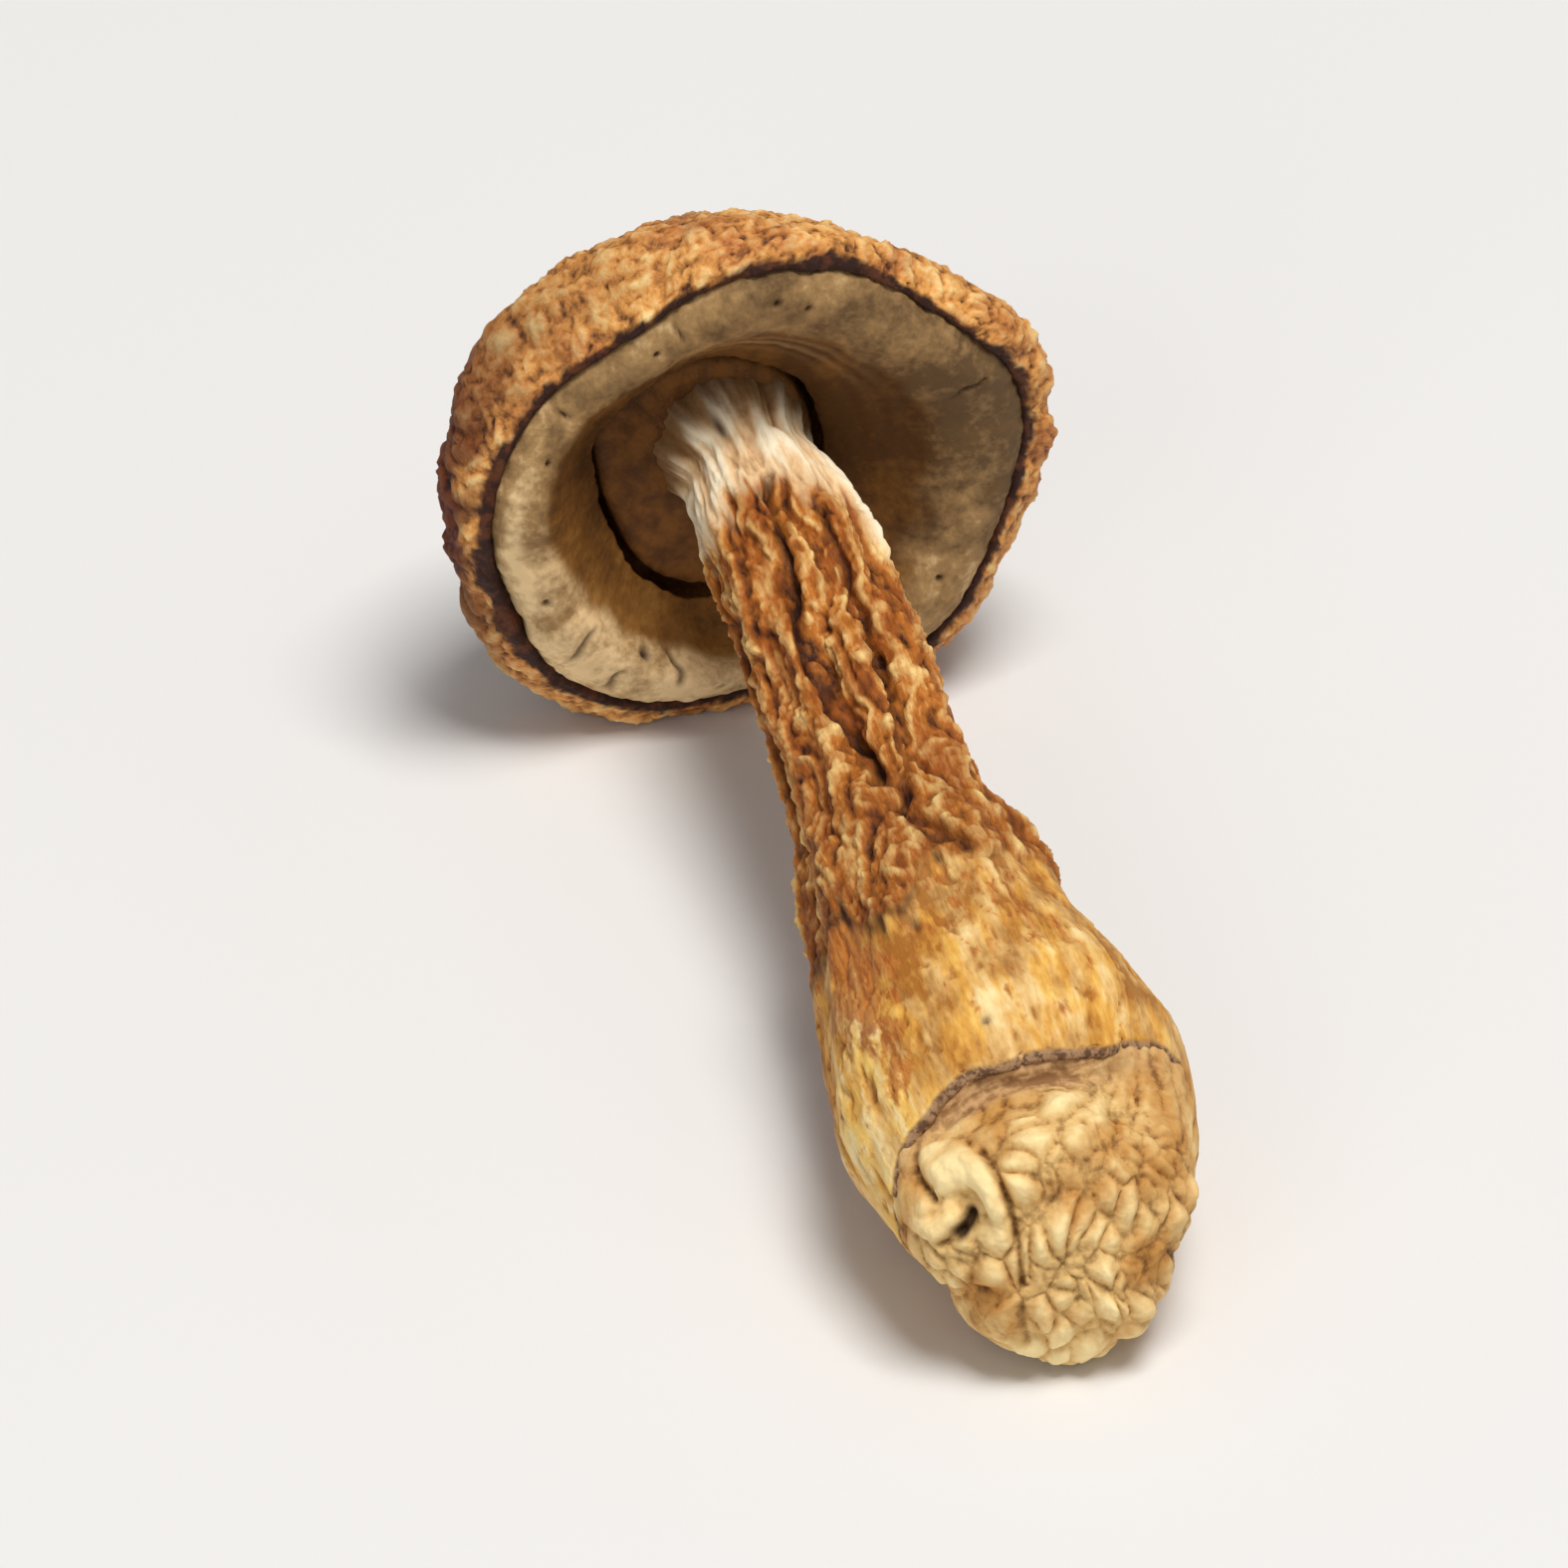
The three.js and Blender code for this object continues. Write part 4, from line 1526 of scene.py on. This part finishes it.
    def build(self) -> bpy.types.Object:
        """Returns the stem as a dressed piece."""
        form = self.whole.stem
        lines = np.linspace(-form.root, form.reach, self.rings)[:, None]
        angle = spread(self.rings, self.columns)
        along = lines + 0 * angle
        shaft = form.skin_point(angle, along)
        share = np.linspace(0, 1, self.lip_rings + 1)[1:-1, None] ** 2
        turned = spread(len(share), self.columns)
        lip_step = 0.22 * np.sin(math.pi * np.minimum(share * 10, 1)) - 1.4 * fade(0.06, 0.4, share)
        lip = form.lip_point(turned, share + 0 * turned, lip_step + 0 * turned)
        torn = 0.35 * Grain(44).layers(form.skin_point(angle[:1], form.reach + 0 * angle[:1]), 1.6, 4, 0.65)
        near = np.vstack([fade(form.reach - 1.4, form.reach, lines), fade(0.2, 0.0, share)])
        points = np.vstack([shaft, lip]) + form.path.heading(np.ones(1)) * (torn * near)[..., None]
        ends = [form.path.at(np.array([0.0]))[0], lip[-1].mean(axis=0)]
        base = Surface(points, Ends.POINTS, *ends)

        angle = np.vstack([angle, turned])
        along = np.vstack([along, form.reach + 0 * turned])
        inward = np.vstack([0 * lines, share]) + 0 * angle
        thick = np.interp(along, *form.radii.T)
        flat = np.stack([thick * np.cos(angle), thick * np.sin(angle), along], axis=-1)
        long_flat = flat / np.array([1, 1, 3.5])
        grain = Grain(41)
        streaks = grain.layers(flat / np.array([1, 1, 7]), 0.75, 3, 0.65)
        uneven = swells(angle, [(1.85, 0.35, 0.9), (1.15, 0.3, -0.5)])
        top = fade(4.0, 2.2, along + 2.8 * streaks + uneven)
        steps = 24.6 + 2.6 * bell(turn(angle, 2.1), 0.35) * fade(1.7, 1.85, angle)
        past = along - steps + 0.9 * grain.layers(long_flat, 1.0, 3, 0.6)
        foot = fade(-0.6, 0.5, past)
        lit = 0.3 * bell(turn(angle, 2.9), 0.5) * fade(28, 34, along) - 0.14 * fade(34, 26, along)
        mottled = grain.layers(flat / np.array([1, 1, 1.8]), 1.9, 4, 0.65)
        crests = grain.crests(grain.sway(flat, 1.5, 0.3) / np.array([1, 1, 5]), 1.2, 2, 0.5)
        creased = fade(0.62, 0.9, crests)
        smooth = 0.43 + lit + 0.4 * streaks + 0.55 * mottled - 0.34 * creased
        broken = np.clip(1.0 + 0.7 * grain.layers(flat / np.array([1, 1, 2.5]), 1.6, 2, 0.6), 0.65, 1)
        stray = 0.4 * grain.layers(flat, 1.4, 2, 0.6)
        furrow = self.furrowed(angle, along, stray) * (1 - 0.6 * foot) * broken
        height = mix(self.ridged(angle, along, flat), smooth, foot)
        height = np.clip(mix(height, 0.64 + 0.85 * streaks, top), 0, 1) * (1 - 0.8 * np.clip(furrow, 0, 1))
        deep = self.spots(angle, along, self.slits)
        flap = bell(turn(angle, 0.72 - 0.02 * along), 0.1) * fade(-2.5, 0, along) * fade(7.5, 5.5, along)
        speckled = grain.layers(flat / np.array([1, 1, 2.4]), 0.5, 3, 0.6)
        many = 0.12 * fade(36, 25, along) - 0.1 * fade(1.0, 0.2, angle)
        streak = self.streak.bell(self.girth * angle, along, mix(0.9, 0.5, fade(28, 36, along)))
        marks = self.spots(angle, along + 1.5 * grain(flat, 1.2), self.marks)
        flecks = np.minimum(many + 0.26 * speckled + 0.3 * streak + 0.24 * marks, 0.36 + 0.14 * streak)
        tall = self.ridges * mix(1.0, 0.4, foot) * mix(1.0, 0.7, top)
        sunken = 0.16 * deep + 0.42 * furrow + 0.06 * creased * foot
        # A painted shadow line where the rough skin meets the foot's smooth skin.
        step = 0.5 * bell(past, 0.35) * fade(1.7, 2.0, angle)
        # The rough skin darker towards the foot.
        darker_towards_foot = 0.16 * fade(14, 22, along) * (1 - foot)
        surface = base.raised((height - 0.45) * tall * fade(0.12, 0.0, inward) + 0.22 * flap - sunken)
        surface.values = {
            "height": np.clip(height + 0.4 * flap, 0, 1),
            "pale": np.clip(top + flap, 0, 1),
            "foot": foot,
            "flecks": flecks,
            "lip": fade(0.0, 0.02, inward),
            # Painted shade where the stem leaves the cap.
            "root": 0.9 * fade(-0.9, -2.3, along + 0.8 * streaks),
            # Slits and furrows darkened, partly painted shade, with the painted shadow line and the
            # darkening towards the foot.
            "dark": np.clip(0.9 * deep + 0.68 * furrow + step + darker_towards_foot, 0, 0.9),
        }
        return dress(surface.build("stem", self.whole.placed), StemFinish().material())


@dataclass
class FootEnd:
    """The crumpled pad that swells out of the foot's torn skin.

    Attributes:
        whole: The mushroom's forms.
        columns: Points round each ring.
        rings: Rings from the lip to the tip.
        folds: Height of the folds.
        curl: Middle line of the large curled fold.
        curl_edge: Middle line of the fold that meets it from the left.
        hole: The dark hole in the curl.
        creases: Deep creases, each with its width.
        lobes: Large lumps as place across, place up, width and height.
        brown_patches_and_shade: A brown patch and a spot of painted shade at the lower left, likewise.
    """

    whole: Mushroom
    columns: int = 400
    rings: int = 240
    folds: float = 0.75
    curl: Trace = Trace((-4.0, 2.2), (-3.7, 2.35), (-3.1, 2.4), (-2.65, 1.85), (-2.4, 1.05), (-2.15, 0.0))
    curl_edge: Trace = Trace((-5.1, 1.3), (-4.95, 0.6), (-4.4, 0.35), (-4.1, 0.7))
    hole: Trace = Trace((-3.35, 0.95), (-3.5, 0.6), (-3.75, 0.3))
    creases: tuple[tuple[Trace, float], ...] = (
        (Trace((-3.75, 0.3), (-4.0, 0.1), (-4.3, -0.1)), 0.16),
        (Trace((-2.6, 2.95), (-2.05, 1.9), (-1.85, 1.05), (-1.65, -0.6), (-1.63, -1.7)), 0.13),
        (Trace((-1.7, -2.6), (-1.6, -3.5), (-1.5, -4.1)), 0.16),
        (Trace((-4.5, 2.8), (-4.7, 2.1), (-4.5, 1.4)), 0.12),
        (Trace((4.2, -1.5), (4.6, -2.0)), 0.16),
    )
    lobes: tuple[tuple[float, float, float, float], ...] = (
        (-2.6, -3.2, 1.1, 0.45),
        (-0.3, -4.4, 1.4, -0.7),
        (2.7, -3.6, 1.0, 0.3),
        (-0.6, 2.3, 0.8, 0.2),
        (-3.5, 1.4, 0.7, -0.4),
    )
    brown_patches_and_shade: tuple[tuple[float, float, float, float], ...] = (
        (3.2, -1.5, 0.9, 0.5),
        (-2.8, -1.9, 0.9, 0.32),
    )

    def base(self) -> tuple[Surface, Array, Array, Array, Array]:
        """Draws the pad without its folds.

        Returns:
            The surface, places across and up the foot's end, distance in front of the skin's
            edge, and how far each point belongs to the ring.
        """
        form = self.whole.stem
        hidden = [(0, -1.8), (4.6, -1.8), (5.3, -0.9), (5.5, -0.15)]
        ringed = [(5.2, 0.0), (4.4, 0.1), (4.15, 0.9), (3.75, 2.1), (2.6, 3.05)]
        full = [(5.5, 0.35), (5.4, 0.8), (5.15, 1.5), (4.4, 2.35), (2.9, 3.05)]
        curves = [Curve([*hidden, *side, (0, form.bulge)]) for side in (full, ringed)]
        angle = spread(self.rings - 1, self.columns)
        share = np.clip(1.25 * bell(turn(angle, 1.75), 0.9), 0, 1)
        lines = [c.spaced(self.rings)[1:-1].T[..., None] + 0 * angle for c in curves]
        radius, forward = mix(*lines, share)
        r = radius * form.radius(angle, form.reach + 0 * angle) / form.radii[-1, 1]
        narrow = 0.12 * bell(turn(angle, -0.35), 0.7) + 0.12 * bell(turn(angle, 0.8), 0.35)
        low = 0.06 * bell(turn(angle, 4.55), 0.5)
        r = r * (1 - (narrow - low) * fade(0.0, 1.2, forward))
        tips = form.end_point(np.zeros(2), np.zeros(2), np.array([-1.8, form.bulge]))
        surface = Surface(form.end_point(angle, r, forward), Ends.POINTS, *tips)
        ring = fade(0.7, 0.1, forward + 0.35 * Grain(53).layers(surface.points, 1.2, 3, 0.6)) * share
        return surface, r * np.cos(angle), r * np.sin(angle), forward, ring

    @staticmethod
    def heaped(x: Array, y: Array, places: Sequence[tuple[float, float, float, float]]) -> Array:
        """Adds up round heaps on the foot's end.

        Args:
            x: Places across the foot's end.
            y: Places up the foot's end.
            places: The heaps as place across, place up, width and height.

        Returns:
            The heaps' sum at each place.
        """
        return sum(rise * bell(np.hypot(x - at, y - up), wide) for at, up, wide, rise in places)

    def curled(self, x: Array, y: Array, stray: Array) -> tuple[Array, Array]:
        """Draws the large curled fold and the one that meets it.

        Args:
            x: Places across the foot's end.
            y: Places up the foot's end.
            stray: How far their outline strays, in millimetres.

        Returns:
            The folds' height, of 0 to 1, and how far each point is in the groove round them.
        """
        gap, share = self.curl.nearest(x, y)
        thick = mix(0.7, 0.34, fade(0.2, 0.65, share))
        curl = np.sqrt(np.clip(1 - ((gap + stray) / thick) ** 2, 0, 1))
        gap_edge = self.curl_edge.nearest(x, y)[0]
        edge = np.sqrt(np.clip(1 - ((gap_edge + stray) / 0.45) ** 2, 0, 1))
        ending = mix(1, 0.45, fade(0.6, 1.0, share))
        return np.maximum(curl * ending, 0.6 * edge), bell(gap, thick + 0.2) * ending

    def build(self) -> bpy.types.Object:
        """Returns the pad as a dressed piece."""
        base, x, y, forward, ring = self.base()
        grain, lumps = Grain(51), Lumps(52)
        fan = np.arctan2(x + 1.0, y + 18) * 18 * mix(1, 0.7, fade(-1.8, -3.8, y))
        flat = np.stack([fan, forward, np.hypot(x + 1.0, y + 18)], axis=-1)
        moved = grain.sway(grain.sway(flat, 2.6, 0.5), 1.0, 0.18)
        calm = fade(0.5, 3.0, x) * fade(0.5, 3.0, y)
        large = lumps(moved, 1.05, 1.5) ** 1.15 * (0.85 + 0.6 * grain.layers(flat, 1.6, 2, 0.6))
        small = lumps(moved + 5, 0.7, 1.3)
        folds = (1 - 0.5 * calm) * (0.12 + 0.76 * large) + (0.1 + 0.28 * calm) * small + 0.04 * calm
        rough = grain.layers(base.points, 0.8, 3, 0.6)
        height = folds + 0.1 * rough + 0.03
        curl, groove = self.curled(x, y, 0.15 * grain.layers(base.points, 0.9, 2, 0.6))
        inside = bell(np.hypot(x + 3.7, y - 1.1), 0.85)
        height = mix(height, 0.3 + 0.3 * rough, np.maximum(inside, 0.55 * groove))
        height = np.maximum(height, curl * (0.85 + 0.25 * rough))
        deep = np.clip(sum(line.bell(x, y, width) for line, width in self.creases), 0, 1)
        hole = self.hole.bell(x, y, 0.24)
        height = np.clip(height * (1 - 0.65 * deep), 0, 1)
        bumps = self.heaped(x, y, self.lobes) + 0.2 * grain(base.points, 2.8)
        quiet_tip = 0.6 * bell(np.hypot(x, y + 5.3), 0.8)
        wall = mix(0.45, 1, fade(0.4, 2.2, forward)) * (1 - quiet_tip)
        rise = (height - 0.38) * self.folds * wall + bumps + 0.15 * curl - 0.5 * hole - 0.08 * deep * wall
        keep = fade(-1.0, 0.4, forward) * (1 - 0.75 * ring)
        row = np.arange(self.rings - 1)[:, None] + 0 * x
        lines = Grain(54).layers(np.stack([0.5 * x, 0.5 * y, 0.12 * row], axis=-1), 0.8, 3, 0.6)
        # Darker towards the right and near the rim.
        brown_patch_and_shade = 0.12 * fade(0.5, 4.0, x) + 0.12 * fade(2.5, 0.5, forward) * fade(-3.0, -1.0, y)
        # Painted shade below the lip at the upper right, in the ring's colour.
        shaded = 0.6 * fade(0.8, 0.3, forward + 0.3 * rough) * bell(np.arctan2(y, x) - 1.0, 0.5)
        surface = base.raised(rise * keep + 0.12 * lines * ring)
        surface.values = {
            # Painted light: the colouring height is raised towards the pad's bottom, and on the curl as a
            # partly painted highlight.
            "height": np.clip(height + 0.16 * curl + 0.1 * fade(-1.5, -4.0, y), 0, 1),
            "ring": np.maximum(ring, shaded),
            "lines": 0.5 + 0.8 * lines,
            # A brown patch on the right and painted shade at the lower left.
            "brown_patch_and_shade": brown_patch_and_shade + self.heaped(x, y, self.brown_patches_and_shade),
            # Painted shade in the hole and the deep creases.
            "dark": np.clip(1.4 * hole + 0.2 * deep, 0, 0.95),
        }
        return dress(surface.build("foot_end", self.whole.placed), PadFinish().material())


@dataclass(frozen=True)
class Lamp:
    """A large soft light that faces the mushroom.

    Attributes:
        name: The light's name.
        place: Where it hangs, in metres.
        size: Its width, in metres.
        power: Its power, in watts.
        tint: Its colour.
    """

    name: str
    place: tuple[float, float, float]
    size: float
    power: float
    tint: Rgb

    def hang(self) -> None:
        """Hangs the light over the floor."""
        data = bpy.data.lights.new(self.name, "AREA")
        data.size = self.size
        data.energy = self.power
        data.color = self.tint
        light = bpy.data.objects.new(self.name, data)
        light.location = self.place
        light.rotation_mode = "QUATERNION"
        light.rotation_quaternion = Vector(self.place).to_track_quat("Z", "Y")
        bpy.context.scene.collection.objects.link(light)


@dataclass(frozen=True)
class Studio:
    """The plain floor, the soft lights and the camera.

    Attributes:
        azimuth: Way round that the camera looks from, in degrees; 0 looks along +Y.
        elevation: Height that it looks from, in degrees.
        distance: How far it stands, in metres.
        frame_width: What it sees across at that distance, in millimetres.
        aim: Sideways and upward distance from the rim's middle to the picture's middle.
        floor_size: Width of the floor, in metres.
        lamps: The soft lights.
        surroundings: Strength of the light from all round.
    """

    azimuth: float = -14.7
    elevation: float = 36.0
    distance: float = 0.78
    frame_width: float = 59.0
    aim: tuple[float, float] = (0.99, -10.93)
    floor_size: float = 12.0
    lamps: tuple[Lamp, ...] = (
        Lamp("key_light", (0.12, -0.22, 0.95), 0.4, 8.5, (1.0, 0.97, 0.93)),
        Lamp("fill_light", (-0.7, -0.8, 0.6), 0.6, 1.6, (0.97, 0.98, 1.0)),
    )
    surroundings: float = 0.25

    def camera(self, whole: Mushroom) -> bpy.types.Object:
        """Places the camera so that the mushroom lies in the picture as photographed.

        Args:
            whole: The mushroom's forms.

        Returns:
            The camera.
        """
        a, e = math.radians(self.azimuth), math.radians(self.elevation)
        back = Vector((math.sin(a) * math.cos(e), -math.cos(a) * math.cos(e), math.sin(e)))
        right = Vector((math.cos(a), math.sin(a), 0))
        up = back.cross(right)
        rim = Vector(whole.placed(np.array(whole.cap.middle)) * MM)
        target = rim + right * self.aim[0] * MM + up * self.aim[1] * MM
        data = bpy.data.cameras.new("camera")
        data.sensor_width = 36.0
        data.lens = data.sensor_width * self.distance / (self.frame_width * MM)
        camera = bpy.data.objects.new("camera", data)
        camera.location = target + back * self.distance
        camera.rotation_mode = "QUATERNION"
        camera.rotation_quaternion = back.to_track_quat("Z", "Y")
        bpy.context.scene.collection.objects.link(camera)
        bpy.context.scene.camera = camera
        return camera

    def build(self, whole: Mushroom) -> None:
        """Sets up the floor, the lights, the surroundings and the camera.

        Args:
            whole: The mushroom's forms.
        """
        half = self.floor_size / 2
        mesh = bpy.data.meshes.new("floor")
        corners = [(-half, -half, 0), (half, -half, 0), (half, half, 0), (-half, half, 0)]
        mesh.from_pydata(corners, [], [(0, 1, 2, 3)])
        mesh.materials.append(FloorFinish().material())
        floor = bpy.data.objects.new("floor", mesh)
        bpy.context.scene.collection.objects.link(floor)
        for lamp in self.lamps:
            lamp.hang()
        world = bpy.data.worlds.new("soft_surroundings")
        world.use_nodes = True
        sky = world.node_tree.nodes["Background"]
        sky.inputs["Color"].default_value = (1.0, 1.0, 1.0, 1.0)
        sky.inputs["Strength"].default_value = self.surroundings
        bpy.context.scene.world = world
        bpy.context.scene.view_settings.view_transform = "Standard"
        self.camera(whole)


def main() -> None:
    """Builds the mushroom piece by piece and sets up the studio."""
    logging.basicConfig(level=logging.INFO, format="%(name)s: %(message)s")
    whole = Mushroom()
    Studio().build(whole)
    for sub_assembly in (Cap(whole), Veil(whole), Stem(whole), FootEnd(whole)):
        sub_assembly.build()


if __name__ == "__main__":
    main()
